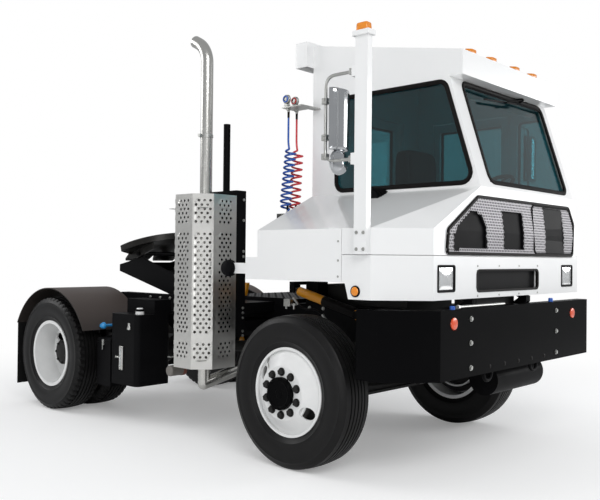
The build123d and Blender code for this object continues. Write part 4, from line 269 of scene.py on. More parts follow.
BLUE_CAP = finish("blue_moulded_cap", ("1B4FA8", "2660C0"), (0.3, 0.42), coat=0.2, tone_mm=60)
SEAT_CLOTH = finish("woven_seat_cloth", ("101214", "1B1E21"), (0.75, 0.9), bump_mm=2.5, bump=0.5, tone_mm=30,
                    sheen=0.25)
print(len(bpy.data.materials), "finishes so far")

# %% Glass and lamp lenses
def thin_glass(name, tint, rough=0.0):
    """Flat glass: tinted straight-through light, with a mirror that grows towards grazing views."""
    material, tree, output = new_material(name)
    clear = add_node(tree, "ShaderNodeBsdfTransparent", {"Color": linear(tint)})
    mirror = add_node(tree, "ShaderNodeBsdfGlossy", {"Roughness": rough, "Color": (1, 1, 1, 1)})
    behind = add_node(tree, "ShaderNodeNewGeometry").outputs["Backfacing"]
    index = add_node(tree, "ShaderNodeMapRange", {"Value": behind, "To Min": 1.5, "To Max": 1 / 1.5})
    edge = add_node(tree, "ShaderNodeFresnel", {"IOR": index.outputs[0]})
    mix = add_node(tree, "ShaderNodeMixShader", {0: edge.outputs[0], 1: clear.outputs[0], 2: mirror.outputs[0]})
    tree.links.new(mix.outputs[0], output.inputs["Surface"])
    return material


def lens_plastic(name, colour, rough, rib_mm=0.0, clear=0.0):
    """Coloured lamp plastic: a bright body under a clear skin, with moulded ribs where rib_mm is given."""
    material, tree, output = new_material(name)
    surface = add_node(tree, "ShaderNodeBsdfPrincipled", {
        "Base Color": linear(colour), "Roughness": rough, "Transmission Weight": clear, "IOR": 1.49,
        "Coat Weight": 0.6, "Coat Roughness": 0.05})
    if rib_mm:
        where = add_node(tree, "ShaderNodeTexCoord").outputs["Object"]
        ribs = add_node(tree, "ShaderNodeTexWave", {"Vector": where, "Scale": 1 / (rib_mm * MM) / (2 * math.pi) * 2},
                        bands_direction="Y")
        relief = add_node(tree, "ShaderNodeBump", {"Height": ribs.outputs["Fac"], "Strength": 0.6, "Distance": MM})
        tree.links.new(relief.outputs[0], surface.inputs["Normal"])
    tree.links.new(surface.outputs[0], output.inputs["Surface"])
    return material


CAB_GLASS = thin_glass("tinted_laminated_glass", "9CC0C4")
MIRROR_GLASS = finish("silvered_mirror_glass", ("8F989E", "9AA3A8"), (0.02, 0.04), metal=1.0, tone_mm=400)
AMBER_LENS = lens_plastic("moulded_amber_lens", "E88A1C", 0.16, rib_mm=6)
RED_LENS = lens_plastic("moulded_red_lens", "B01212", 0.15)
CLEAR_LENS = lens_plastic("ribbed_clear_lens", "DDE2E4", 0.08, rib_mm=14, clear=0.9)
ORANGE_REFLECTOR = lens_plastic("orange_reflector", "DE4A16", 0.25)

# %% Finishes onto the CAD nodes
NODE_FINISHES = (
    (WHITE_ENAMEL, "cab_left_wall cab_rear_wall cab_right_wall cab_roof door_header front_cowl lamp_panel left_door "
                   "mirror_post rear_door side_panel windscreen_wall"),
    (WHEEL_ENAMEL, "front_left_wheel front_right_wheel rear_left_wheels rear_right_wheels"),
    (CHASSIS_BLACK, "frame_rails cross_members deck_and_steps tanks battery_box exhaust_carrier lift_boom cab_mounts "
                    "cab_floor"),
    (FENDER_STEEL, "rear_fenders"),
    (BUMPER_BLACK, "front_bumper"),
    (TYRE_RUBBER, "front_left_tyre front_right_tyre rear_left_tyres rear_right_tyres"),
    (CAB_GLASS, "cab_windows left_door_window rear_door_window"),
    (STAINLESS, "exhaust_guard"),
    (BRIGHT_PIPE, "exhaust_stack"),
    (BLACK_PLASTIC, "grille air_intake steering_wheel lamps"),
    (TRIM_PLASTIC, "dashboard"),
    (SEAT_CLOTH, "seat"),
    (CHROME, "mirrors lift_cylinder_rods cab_tilt_rod"),
    (ZINC, "hose_brackets"),
    (FLAP_RUBBER, "mud_flaps"),
    (GREASED_STEEL, "fifth_wheel_plate"),
    (CAST_IRON, "rear_axle front_axle left_knuckle right_knuckle engine_and_drive_line radiator"),
    (YELLOW_ENAMEL, "lift_cylinder_barrels cab_tilt_barrel"),
    (BLUE_NYLON, "blue_air_hose_coil"),
    (RED_NYLON, "red_air_hose_coil"),
    (SEAL_RUBBER, "air_hose_leads"),
)
dressed = 0
for material, names in NODE_FINISHES:
    for name in names.split():
        mesh = nodes[name].data
        mesh.materials.clear()
        mesh.materials.append(material)
        dressed += 1
print(dressed, "of", len(nodes), "CAD nodes have their finish")

# %% [markdown]
# ## Ways to build a piece
# Every piece is an array of points and a list of faces. The three makers below are a surface swept round
# an axis, a section carried along a path and a flat outline given a thickness.

# %% Makers of pieces
BODY = {node: body for body, names in frame["record"]["behaviour"]["bodies"].items() for node in names}


def add_piece(name, shape, material, node, smooth=True, bevel_mm=0.0):
    """One object from (points, faces) with its finish, riding with the body of a CAD node."""
    points, faces = shape
    mesh = bpy.data.meshes.new(name)
    mesh.from_pydata(np.asarray(points, float).tolist(), [], [tuple(int(i) for i in face) for face in faces])
    mesh.materials.append(material)
    mesh.validate()
    mesh.polygons.foreach_set("use_smooth", [smooth] * len(mesh.polygons))
    if smooth:
        mesh.set_sharp_from_angle(angle=math.radians(35))
    piece = bpy.data.objects.new(name, mesh)
    bpy.context.scene.collection.objects.link(piece)
    if bevel_mm:
        bevel = piece.modifiers.new("soft_edges", "BEVEL")
        bevel.width, bevel.segments, bevel.limit_method = bevel_mm * MM, 2, "ANGLE"
    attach(piece, BODY[node])
    return piece


def join(shapes):
    """Several (points, faces) as one."""
    points, faces, start = [], [], 0
    for some_points, some_faces in shapes:
        points.append(np.asarray(some_points, float))
        faces.extend([[int(i) + start for i in face] for face in some_faces])
        start += len(some_points)
    return np.concatenate(points), faces


def quads(rows, columns, close_rows=False, close_columns=False):
    """Faces between neighbours in a grid of rows x columns points."""
    i, j = np.meshgrid(np.arange(rows if close_rows else rows - 1),
                       np.arange(columns if close_columns else columns - 1), indexing="ij")
    k, l = (i + 1) % rows, (j + 1) % columns
    return np.stack([i * columns + j, k * columns + j, k * columns + l, i * columns + l], -1).reshape(-1, 4).tolist()


def unit(vector):
    """A vector, or each row of several, at length one."""
    vector = np.asarray(vector, float)
    return vector / np.linalg.norm(vector, axis=-1, keepdims=True)


def lathe(profile, centre, axis, segments=48):
    """(radius, distance) points turned about an axis: centre + distance * axis + radius * (cos * u + sin * v)."""
    axis = unit(axis)
    u = unit(np.cross(axis, (0.3, 0.2, 1.0) if abs(axis[2]) < 0.9 else (1.0, 0.0, 0.0)))
    v = np.cross(axis, u)
    turn = np.linspace(0, 2 * np.pi, segments, endpoint=False)
    around = np.cos(turn)[:, None] * u + np.sin(turn)[:, None] * v
    profile = np.asarray(profile, float)
    points = (np.asarray(centre, float) + profile[:, 1, None, None] * axis + profile[:, 0, None, None] * around[None])
    return points.reshape(-1, 3), quads(len(profile), segments, close_columns=True)


def rod_shape(start, end, radius, segments=20):
    """A closed round bar between two points."""
    start, end = np.asarray(start, float), np.asarray(end, float)
    long = float(np.linalg.norm(end - start))
    return lathe([(0, 0), (radius, 0), (radius, long), (0, long)], start, end - start, segments)


def carried(path, section, hint, closed=False):
    """A section of (sideways, upwards) points carried along a path: path + sideways * side + upwards * up,
    where side is square to the path and the hint."""
    path = np.asarray(path, float)
    ahead, behind = np.roll(path, -1, 0), np.roll(path, 1, 0)
    if not closed:
        ahead[-1], behind[0] = path[-1], path[0]
    along = unit(ahead - behind)
    side = unit(np.cross(along, np.broadcast_to(hint, along.shape)))
    up = np.cross(side, along)
    section = np.asarray(section, float)
    points = path[:, None] + section[None, :, 0, None] * side[:, None] + section[None, :, 1, None] * up[:, None]
    return points.reshape(-1, 3), quads(len(path), len(section), closed, True)


def rectangle(a0, b0, a1, b1):
    """The four corners of a flat outline."""
    return [(a0, b0), (a1, b0), (a1, b1), (a0, b1)]


def circle(radius, count=12):
    """A round section."""
    turn = np.linspace(0, 2 * np.pi, count, endpoint=False)
    return np.stack([radius * np.cos(turn), radius * np.sin(turn)], 1)


def block(low, high):
    """A box between two corners."""
    low, high = np.asarray(low, float), np.asarray(high, float)
    corners = [[x, y, z] for x in (low[0], high[0]) for y in (low[1], high[1]) for z in (low[2], high[2])]
    return corners, [(0, 1, 3, 2), (4, 6, 7, 5), (0, 4, 5, 1), (2, 3, 7, 6), (0, 2, 6, 4), (1, 5, 7, 3)]


def plate(outline, thickness, place):
    """A flat outline given a thickness: place(a, b, depth) puts each point in the frame."""
    count = len(outline)
    points = [place(a, b, depth) for depth in (0.0, thickness) for a, b in outline]
    sides = [(i, (i + 1) % count, (i + 1) % count + count, i + count) for i in range(count)]
    return points, [tuple(range(count))[::-1], tuple(range(count, 2 * count)), *sides]


def rounded(corners, radius, steps=6):
    """An outline with each corner turned on an arc of the radius."""
    corners = np.asarray(corners, float)
    made = []
    for before, here, after in zip(np.roll(corners, 1, 0), corners, np.roll(corners, -1, 0)):
        u, v = unit(before - here), unit(after - here)
        half = math.acos(np.clip(np.dot(u, v), -1, 1)) / 2
        reach = radius / math.tan(half)
        middle = here + unit(u + v) * radius / math.sin(half)
        start, end = here + u * reach - middle, here + v * reach - middle
        sweep = math.acos(np.clip(np.dot(start, end) / radius ** 2, -1, 1))
        for share in np.linspace(0, 1, steps):
            turned = start * math.sin((1 - share) * sweep) + end * math.sin(share * sweep)
            made.append(middle + turned / math.sin(sweep))
    return np.array(made)


def round_path(corners, radius, steps=8):
    """A path in space with its inner corners turned on arcs."""
    corners = np.asarray(corners, float)
    made = [corners[0]]
    for before, here, after in zip(corners, corners[1:], corners[2:]):
        start, end = here + unit(before - here) * radius, here + unit(after - here) * radius
        for share in np.linspace(0, 1, steps):
            made.append((1 - share) ** 2 * start + 2 * share * (1 - share) * here + share ** 2 * end)
    return np.array([*made, corners[-1]])


def pipe(corners, bend, radius, hint):
    """A round tube along a path whose corners turn on arcs."""
    return carried(round_path(corners, bend), circle(radius), hint)


def around(place, radius, count, start=0.0):
    """Places on an upright circle in the X Z plane."""
    turns = 2 * math.pi * (np.arange(count) + start) / count
    return [(place[0] + radius * math.cos(t), place[1], place[2] + radius * math.sin(t)) for t in turns]


def thicken(piece, merge, thickness, offset):
    """Join a piece's tiles at their edges and give the sheet its thickness."""
    piece.modifiers.new("joined_edges", "WELD").merge_threshold = merge
    thick = piece.modifiers.new("sheet_thickness", "SOLIDIFY")
    thick.thickness, thick.offset = thickness, offset


def hexagon_bolt(place, normal, radius, height, washer=1.25):
    """A hexagon head on a round washer."""
    normal = unit(normal)
    base = np.asarray(place, float)
    ring = lathe([(0, 0), (radius * washer, 0), (radius * washer, height * 0.2), (0, height * 0.2)], base, normal, 20)
    head = lathe([(radius, 0), (radius, height * 0.9), (radius * 0.86, height), (0, height)], base, normal, 6)
    return join([ring, head])


def bolts(name, places, normal, radius, height, material, node):
    """A set of alike bolts as one piece."""
    return add_piece(name, join([hexagon_bolt(p, normal, radius, height) for p in places]), material, node,
                     smooth=False)


# %% [markdown]
# ## Tyres
# The carcass is a lathe surface. The front treads are ribs, parted by five grooves; the rear ones also have
# cross cuts at both shoulders. Each tyre is one grid: its radius is the profile's, less the groove depth.

# %% Tyres
TYRE_R, HUB_Z, REAR_X = 0.515, 0.515, -2.948
FRONT_RIM_Y, REAR_RIM_YS = 1.026, (1.085, 0.743)
SIDEWALL = ((0.289, 0.097), (0.297, 0.108), (0.312, 0.117), (0.335, 0.127), (0.338, 0.1305), (0.342, 0.129),
            (0.372, 0.1355), (0.405, 0.139), (0.435, 0.1395), (0.462, 0.136), (0.465, 0.1375), (0.469, 0.134),
            (0.487, 0.127), (0.501, 0.118), (0.509, 0.110))
TREAD_HALF, CROWN = 0.104, 0.006
GROOVES, GROOVE_W, GROOVE_DEPTH = (-0.066, -0.034, 0.0, 0.034, 0.066), 0.009, 0.013
SHOULDER_CUTS, CUT_SHARE = 52, 0.32


def tyre_shape(x, y, lugs):
    """A tyre about the Y line through (x, HUB_Z), its middle plane at y."""
    steps = ((-1, 0.001), (-1, -0.001), (1, -0.001), (1, 0.001))
    edges = [g + s * (GROOVE_W / 2 + d) for g in GROOVES for s, d in steps]
    across = np.array(sorted([-TREAD_HALF, TREAD_HALF, -0.09, 0.09] + edges))
    in_groove = np.min(np.abs(across[:, None] - np.array(GROOVES)[None]), 1) < GROOVE_W / 2
    tread_r = TYRE_R - CROWN * (across / TREAD_HALF) ** 2
    outer = np.array(SIDEWALL)
    stations = np.concatenate([outer[:, 1] * -1, across, outer[::-1, 1]])
    radii = np.concatenate([outer[:, 0], tread_r - GROOVE_DEPTH * in_groove, outer[::-1, 0]])
    turns = np.linspace(0, 2 * np.pi, SHOULDER_CUTS * 6 if lugs else 144, endpoint=False)
    radius = np.repeat(radii[:, None], len(turns), 1)
    if lugs:
        phase = (turns[None] * SHOULDER_CUTS / (2 * np.pi) + stations[:, None] * 6) % 1
        shoulder = (np.abs(stations) > 0.071) & (radii > 0.492)
        cut = shoulder[:, None] & (phase < CUT_SHARE)
        radius = radius - cut * GROOVE_DEPTH * 0.85
    points = np.stack([x + radius * np.cos(turns), np.repeat(y + stations[:, None], len(turns), 1),
                       HUB_Z + radius * np.sin(turns)], -1)
    return points.reshape(-1, 3), quads(len(stations), len(turns), close_columns=True)


for side, word in ((-1, "right"), (1, "left")):
    node = f"front_{word}_tyre"
    front = add_piece(f"{word}_front_ribbed_tyre", tyre_shape(0.0, side * FRONT_RIM_Y, False), TYRE_RUBBER, node)
    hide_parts(node)
    node = f"rear_{word}_tyres"
    rear = add_piece(f"{word}_rear_twin_tyres", join([tyre_shape(REAR_X, side * y, True) for y in REAR_RIM_YS]),
                     TYRE_RUBBER, node)
    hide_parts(node)
    print(word, "tyres", len(front.data.polygons), len(rear.data.polygons), "quads")

# %% [markdown]
# ## Wheels
# Ten dark nuts on each disc, a black hub cap in front, a bolted axle flange behind and a bent valve stem.

# %% Wheel nuts, hubs and valves
NUT_CIRCLE, NUTS = 0.14290, 10
FRONT_FACE_Y, REAR_FACE_Y = 1.197, 0.925
for side, word in ((-1, "right"), (1, "left")):
    for end, x, face_y in (("front", 0.0, FRONT_FACE_Y), ("rear", REAR_X, REAR_FACE_Y)):
        node = f"{end}_{word}_wheel" + ("s" if end == "rear" else "")
        places = around((x, side * face_y, HUB_Z), NUT_CIRCLE, NUTS, 0.5)
        bolts(f"{word}_{end}_wheel_nuts", places, (0, side, 0), 0.0225, 0.022, CAST_IRON, node)
    axis = (0, side, 0)
    cap = lathe([(0.109, -0.024), (0.109, 0.004), (0.104, 0.009), (0.088, 0.0105), (0.083, 0.007), (0.078, 0.0065),
                 (0.03, 0.006), (0.026, 0.010), (0.0, 0.011)], (0, side * 1.2205, HUB_Z), axis, 64)
    rim = [hexagon_bolt(place, axis, 0.006, 0.005) for place in around((0, side * 1.230, HUB_Z), 0.094, 8)]
    add_piece(f"{word}_hub_cap", join([cap] + rim), BUMPER_BLACK, f"front_{word}_wheel")
    flange = lathe([(0.113, -0.02), (0.113, 0.0), (0.085, 0.004), (0.05, 0.018), (0.0, 0.019)],
                   (REAR_X, side * 1.0752, HUB_Z), axis, 48)
    ring = [hexagon_bolt(place, axis, 0.011, 0.012) for place in around((REAR_X, side * 1.0765, HUB_Z), 0.098, 8)]
    add_piece(f"{word}_axle_flange", join([flange] + ring), CAST_IRON, f"rear_{word}_wheels")
    stem_y = side * (FRONT_RIM_Y + 0.118)
    stem = carried([(-0.19, stem_y - side * 0.02, HUB_Z + 0.21), (-0.17, stem_y + side * 0.012, HUB_Z + 0.19),
                    (-0.15, stem_y + side * 0.03, HUB_Z + 0.165), (-0.125, stem_y + side * 0.036, HUB_Z + 0.14)],
                   circle(0.0045, 8), (0.2, 0, 1))
    add_piece(f"{word}_valve_stem", stem, ZINC, f"front_{word}_wheel")
    drum = lathe([(0.115, -0.034), (0.205, -0.034), (0.222, -0.05), (0.222, -0.09), (0.252, -0.115), (0.252, -0.17),
                  (0.115, -0.17)], (0, side * FRONT_FACE_Y, HUB_Z), axis, 48)
    add_piece(f"{word}_brake_drum", drum, CAST_IRON, f"front_{word}_wheel")

# %% [markdown]
# ## Exhaust guard
# The guard is punched stainless sheet. A tile with one hole is repeated in staggered rows on each facet, and
# plain strips fill the rest, so the holes are real and the silencer shows behind them.

# %% Punched sheet
HOLE_R, HOLE_PITCH, HOLE_STAGGER, ROW = 0.0105, 0.0430, 0.0107, 0.0318
GUARD_BOTTOM, GUARD_TOP, GUARD_SHEET = 0.575, 1.888, 0.003
# groups of rows: lowest row's height, rows
HOLE_ROWS = ((0.666, 4), (0.854, 24), (1.678, 6))


def holed_tile(middle, half_w, half_h, hole_r):
    """A rectangle with a round hole, as twelve quads: (a, b) points, the hole's first."""
    turn = np.arange(12) * np.pi / 6
    ring = np.stack([np.cos(turn), np.sin(turn)], 1)
    corner = math.atan2(half_h, half_w)
    edge = [corner if k == 1 else math.pi - corner if k == 5 else math.pi + corner if k == 7
            else 2 * math.pi - corner if k == 11 else t for k, t in enumerate(turn)]
    out = np.stack([np.cos(edge), np.sin(edge)], 1)
    out = out / np.maximum(np.abs(out[:, :1]) / half_w, np.abs(out[:, 1:]) / half_h)
    faces = [(k, (k + 1) % 12, (k + 1) % 12 + 12, k + 12) for k in range(12)]
    return np.concatenate([ring * hole_r, out]) + middle, faces


def punched_facet(start, end, columns):
    """A facet between two upright edges given in X and Y, with rows of holes about its middle."""
    start, end = np.array(start), np.array(end)
    width = float(np.linalg.norm(end - start))
    shapes, rows = [], []
    for low, count in HOLE_ROWS:
        rows += [(low + k * ROW, k % 2) for k in range(count)]
    seen = GUARD_BOTTOM

    def strip(a0, a1, z0, z1):
        shapes.append(([(a0, z0), (a1, z0), (a1, z1), (a0, z1)], [(0, 1, 2, 3)]))

    for height, odd in rows:
        if height - ROW / 2 > seen + 1e-6:
            strip(0, width, seen, height - ROW / 2)
        seen = height + ROW / 2
        middle = width / 2 + (HOLE_STAGGER if odd else -HOLE_STAGGER)
        first = middle - columns * HOLE_PITCH / 2
        strip(0, first, height - ROW / 2, seen)
        for k in range(columns):
            shapes.append(holed_tile((first + (k + 0.5) * HOLE_PITCH, height), HOLE_PITCH / 2, ROW / 2, HOLE_R))
        strip(first + columns * HOLE_PITCH, width, height - ROW / 2, seen)
    strip(0, width, seen, GUARD_TOP)
    flat, faces = join(shapes)
    along = (end - start) / width
    points = np.stack([start[0] + flat[:, 0] * along[0], start[1] + flat[:, 0] * along[1], flat[:, 1]], 1)
    return points, faces


low, high = (np.array(c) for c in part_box("exhaust_guard"))
cut = 0.112
corners = [(low[0], high[1]), (low[0], low[1] + cut), (low[0] + cut, low[1]), (high[0] - cut, low[1]),
           (high[0], low[1] + cut), (high[0], high[1])]
HOLES_ACROSS = 3
sheets = [punched_facet(a, b, HOLES_ACROSS) for a, b in zip(corners, corners[1:])]
guard = add_piece("punched_exhaust_guard", join(sheets), STAINLESS, "exhaust_guard", smooth=False)
thicken(guard, 0.0002, GUARD_SHEET, -1)
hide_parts("exhaust_guard")
print("guard", len(guard.data.polygons), "faces before its thickness")
brackets = join([block((x - 0.02, low[1] + 0.004, z), (x + 0.02, high[1], z + 0.004))
                 for x in (-1.2, -0.87) for z in (0.64, 1.78)])
add_piece("guard_brackets", brackets, ZINC, "exhaust_guard", bevel_mm=0.5)
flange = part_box("exhaust_carrier")[1][0]
CARRIER_BOLT_ZS = (1.021, 0.983, 0.945, 0.842, 0.808, 1.42, 1.46, 1.70, 1.86)
bolts("carrier_bolts", [(flange, -0.782, z) for z in CARRIER_BOLT_ZS], (1, 0, 0), 0.009, 0.009, ZINC,
      "exhaust_carrier")
STACK_X, STACK_Y, CLAMP_ZS = -1.0355, -0.985, (1.835, 2.35)
bands = [lathe(rectangle(0.0475, -0.012, 0.0515, 0.012), (STACK_X, STACK_Y, z), (0, 0, 1)) for z in CLAMP_ZS]
ears = [block((STACK_X - 0.012, STACK_Y - 0.078, z - 0.011), (STACK_X + 0.012, STACK_Y - 0.046, z + 0.011))
        for z in CLAMP_ZS]
add_piece("stack_clamps", join(bands + ears), ZINC, "exhaust_stack", bevel_mm=1)

# %% [markdown]
# ## Grille
# A black frame, expanded steel mesh over the black panel, two dark wells and a plain dark plate. The nose
# leans back above its crease, and the mesh follows it.

# %% Grille mesh
NOSE_X, CREASE_Z, NOSE_LEAN = 1.0, 1.6, 0.038 / 0.305
CELL_PITCH, CELL_WEB = 0.022, 0.0072


def on_nose(y, z, out=0.0):
    """A point on the nose's skin, moved outwards."""
    lean = NOSE_LEAN * np.maximum(np.asarray(z, float) - CREASE_Z, 0)
    return np.stack([NOSE_X - lean + out, np.broadcast_to(y, lean.shape) * 1.0, np.asarray(z, float)], -1)


def inside(outline, points):
    """Which points lie within an outline, by counting the edges that a ray to +Y crosses."""
    outline, points = np.asarray(outline), np.asarray(points)
    a, b = outline, np.roll(outline, -1, 0)
    within = np.zeros(len(points), bool)
    for (ay, az), (by, bz) in zip(a, b):
        crosses = (az > points[:, 1]) != (bz > points[:, 1])
        at = ay + (points[:, 1] - az) * (by - ay) / (bz - az if bz != az else 1)
        within ^= crosses & (points[:, 0] < at)
    return within


FRAME_LINE = [(-0.79, 1.467), (-0.775, 1.6), (-0.36, 1.83), (1.05, 1.83), (1.11, 1.70), (1.065, 1.452),
              (-0.775, 1.452)]
RIGHT_WELL = [(-0.718, 1.474), (-0.719, 1.571), (-0.643, 1.645), (-0.493, 1.733), (-0.378, 1.72), (-0.324, 1.69),
              (-0.296, 1.648), (-0.293, 1.481)]
MIDDLE_WELL = rectangle(-0.072, 1.491, 0.235, 1.758)
PLATE_PLACE = rectangle(0.577, 1.462, 0.915, 1.80)
SEAM_Y = 0.392
row_step = CELL_PITCH * math.sqrt(3) / 2
cells = np.array([(-0.80 + (column + row % 2 / 2) * CELL_PITCH, 1.456 + row * row_step)
                  for row in range(int(0.38 / row_step) + 1) for column in range(int(1.92 / CELL_PITCH) + 1)])
kept = inside(FRAME_LINE, cells)
for hole in (RIGHT_WELL, MIDDLE_WELL, PLATE_PLACE):
    kept &= ~inside(hole, cells)
cells = cells[kept]
turn = np.arange(6) * np.pi / 3 + np.pi / 6
ring = np.stack([np.cos(turn), np.sin(turn)], 1)
inner, outer = ring * (CELL_PITCH - CELL_WEB) / math.sqrt(3), ring * CELL_PITCH / math.sqrt(3)
flat = np.concatenate([inner, outer])[None] + cells[:, None]
points = on_nose(flat[..., 0], flat[..., 1], 0.0065).reshape(-1, 3)
one = [(k, (k + 1) % 6, (k + 1) % 6 + 6, k + 6) for k in range(6)]
faces = [tuple(i + n * 12 for i in face) for n in range(len(cells)) for face in one]
mesh_piece = add_piece("expanded_grille_mesh", (points, faces), MESH_STEEL, "grille", smooth=False)
thicken(mesh_piece, 0.0004, 0.0028, 0)
print("grille mesh", len(cells), "cells")


def nose_loop(outline, radius, width, height, name):
    """A bar of rectangular section along an outline on the nose."""
    line = rounded(outline, radius)
    section = [(-width / 2, 0.0), (-width / 2, height * 0.7), (-width / 2 + height * 0.3, height),
               (width / 2 - height * 0.3, height), (width / 2, height * 0.7), (width / 2, 0.0)]
    path = on_nose(line[:, 0], line[:, 1], 0.0)
    return add_piece(name, carried(path, section, (1, 0, 0), True), SEAL_RUBBER, "grille")


nose_loop(FRAME_LINE, 0.03, 0.021, 0.014, "grille_frame")
badge = plate(rounded(PLATE_PLACE, 0.02), 0.006, lambda a, b, depth: on_nose(a, b, 0.001 + depth).tolist())
add_piece("bare_badge_plate", badge, CHASSIS_BLACK, "grille", bevel_mm=1)
SEAM_LINE = [(SEAM_Y, 1.462), (1.058, 1.462), (1.095, 1.70), (1.04, 1.815), (SEAM_Y, 1.815)]
nose_loop(SEAM_LINE, 0.045, 0.012, 0.017, "grille_door_edge")

# %% [markdown]
# ## Lamps
# Headlamps sit in the lower panel, each a ribbed clear lens over a bright bowl with a black bezel. The amber
# lamps stand on the roof's edge, on the mirror post and on the side panel.

# %% Headlamps, slot trim and amber lamps
HEADLAMPS = ((-0.886, -0.686), (0.88, 1.08))
LAMP_LOW, LAMP_HIGH = 1.211, 1.378
# share of the outline's size, X
LENS_RINGS = ((1.0, 0.991), (0.97, 0.9965), (0.85, 1.0), (0.4, 1.0025), (0.0, 1.003))
BOWL_RINGS = ((1.0, 0.99), (0.8, 0.978), (0.3, 0.973), (0.0, 0.972))
BEZEL = ((-0.011, -0.004), (-0.011, 0.005), (0.004, 0.007), (0.007, -0.004))
glass, bowls, bezels = [], [], []
for y0, y1 in HEADLAMPS:
    edge = rounded(rectangle(y0 + 0.006, LAMP_LOW + 0.006, y1 - 0.006, LAMP_HIGH - 0.006), 0.012)
    count = len(edge)
    mid = edge.mean(0)
    for made, rings in ((glass, LENS_RINGS), (bowls, BOWL_RINGS)):
        rows = [np.column_stack([np.full(count, x), mid + (edge - mid) * scale]) for scale, x in rings]
        made.append((np.concatenate(rows), quads(len(rings), count, close_columns=True)))
    ring = np.column_stack([np.full(count, 0.998), mid + (edge - mid) * 1.03])
    bezels.append(carried(ring, BEZEL, (1, 0, 0), True))
lenses = add_piece("headlamp_lenses", join(glass), CLEAR_LENS, "lamps")
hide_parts("lamps")
add_piece("headlamp_bowls", join(bowls), CHROME, "lamps")
add_piece("headlamp_bezels", join(bezels), BLACK_PLASTIC, "lamps")

SLOT = (-0.413, 0.477, 1.206, 1.345)
slot_line = rounded(rectangle(SLOT[0], SLOT[2], SLOT[1], SLOT[3]), 0.03)
path = np.column_stack([np.full(len(slot_line), 0.9995), slot_line])
slot_edge = carried(path, [(-0.009, -0.012), (-0.009, 0.004), (0.006, 0.005), (0.009, -0.012)], (1, 0, 0), True)
add_piece("slot_edge_rubber", slot_edge, SEAL_RUBBER, "lamp_panel")
backing = block((0.962, SLOT[0] - 0.01, SLOT[2] - 0.01), (0.966, SLOT[1] + 0.01, SLOT[3] + 0.01))
add_piece("slot_backing", backing, CHASSIS_BLACK, "lamp_panel", smooth=False)
screw_ys = [SLOT[0] + 0.01 + k * (SLOT[1] - SLOT[0] - 0.02) / 3 for k in range(4)]
screws = [(NOSE_X, y, z) for y in screw_ys for z in (SLOT[2] - 0.028, SLOT[3] + 0.028)]
bolts("slot_screws", screws, (1, 0, 0), 0.006, 0.004, ZINC, "lamp_panel")


def dome_lamp(middle, size, up):
    """A lozenge-shaped lens: a rounded rectangle whose rings shrink as they rise."""
    half_x, half_y, height = size
    edge = rounded(rectangle(-half_x, -half_y, half_x, half_y), min(half_x, half_y) * 0.4)
    rings = [(1.0, 0.0), (0.98, 0.35), (0.94, 0.8), (0.84, 0.97), (0.0, 1.0)]
    up = unit(up)
    side = unit(np.cross((0, 1, 0), up))
    points = [np.asarray(middle) + scale * (a * side + b * np.array((0, 1, 0))) + share * height * up
              for scale, share in rings for a, b in edge]
    return points, quads(len(rings), len(edge), close_columns=True)


ROOF_LAMP_X, ROOF_LAMP_YS, ROOF_SLOPE = 0.72, (-0.041, 0.257, 0.623, 0.921), 0.25 / 1.315
roof_z = 2.85 + ROOF_SLOPE * (0.815 - ROOF_LAMP_X)
up = (ROOF_SLOPE, 0, 1)
ambers = [dome_lamp((ROOF_LAMP_X, y, roof_z + 0.008), (0.034, 0.038, 0.038), up) for y in ROOF_LAMP_YS]
bases = [dome_lamp((ROOF_LAMP_X, y, roof_z - 0.004), (0.040, 0.044, 0.014), up) for y in ROOF_LAMP_YS]
post_low, post_high = (np.array(c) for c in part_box("mirror_post"))
post_mid = (post_low + post_high) / 2
ambers.append(dome_lamp((post_mid[0], post_mid[1], post_high[2] + 0.004), (0.044, 0.028, 0.045), (0, 0, 1)))
MARKER = (0.617, -1.2, 1.213)
ambers.append(lathe([(0.029, 0.002), (0.028, 0.009), (0.022, 0.0145), (0.0, 0.017)], MARKER, (0, -1, 0), 40))
bases.append(lathe([(0.0355, 0.0), (0.0355, 0.006), (0.031, 0.009), (0.028, 0.0095)], MARKER, (0, -1, 0), 40))
add_piece("amber_marker_lamps", join(ambers), AMBER_LENS, "lamps")
add_piece("marker_lamp_bases", join(bases), BLACK_PLASTIC, "lamps")

# %% [markdown]
# ## Window rubbers
# Each pane is held by a black rubber strip. Its outline is the wall's opening with round corners, and the
# strip's section is a low bead that laps over the sheet.

# %% Window rubbers
RUBBER = [(-0.016, -0.010), (-0.018, 0.002), (-0.010, 0.0075), (0.010, 0.0075), (0.016, 0.002), (0.014, -0.010)]


def upright_loop(outline, radius, y, outwards, name, node):
    """A rubber round a window in a side wall, given in X and Z."""
    line = rounded(outline, radius)
    path = np.column_stack([line[:, 0], np.full(len(line), y), line[:, 1]])
    return add_piece(name, carried(path, RUBBER, (0, outwards, 0), True), SEAL_RUBBER, node)


SILL_Z, EAVE_Z, FRONT_X, TOP_X = 1.905, 2.68, 0.96, 0.71
PILLAR = (FRONT_X - TOP_X) / (EAVE_Z - SILL_Z)


def pillar_x(z, inset=0.04):
    """X of a side window's front edge, which follows the windscreen pillar."""
    return FRONT_X - (z - SILL_Z) * PILLAR - inset


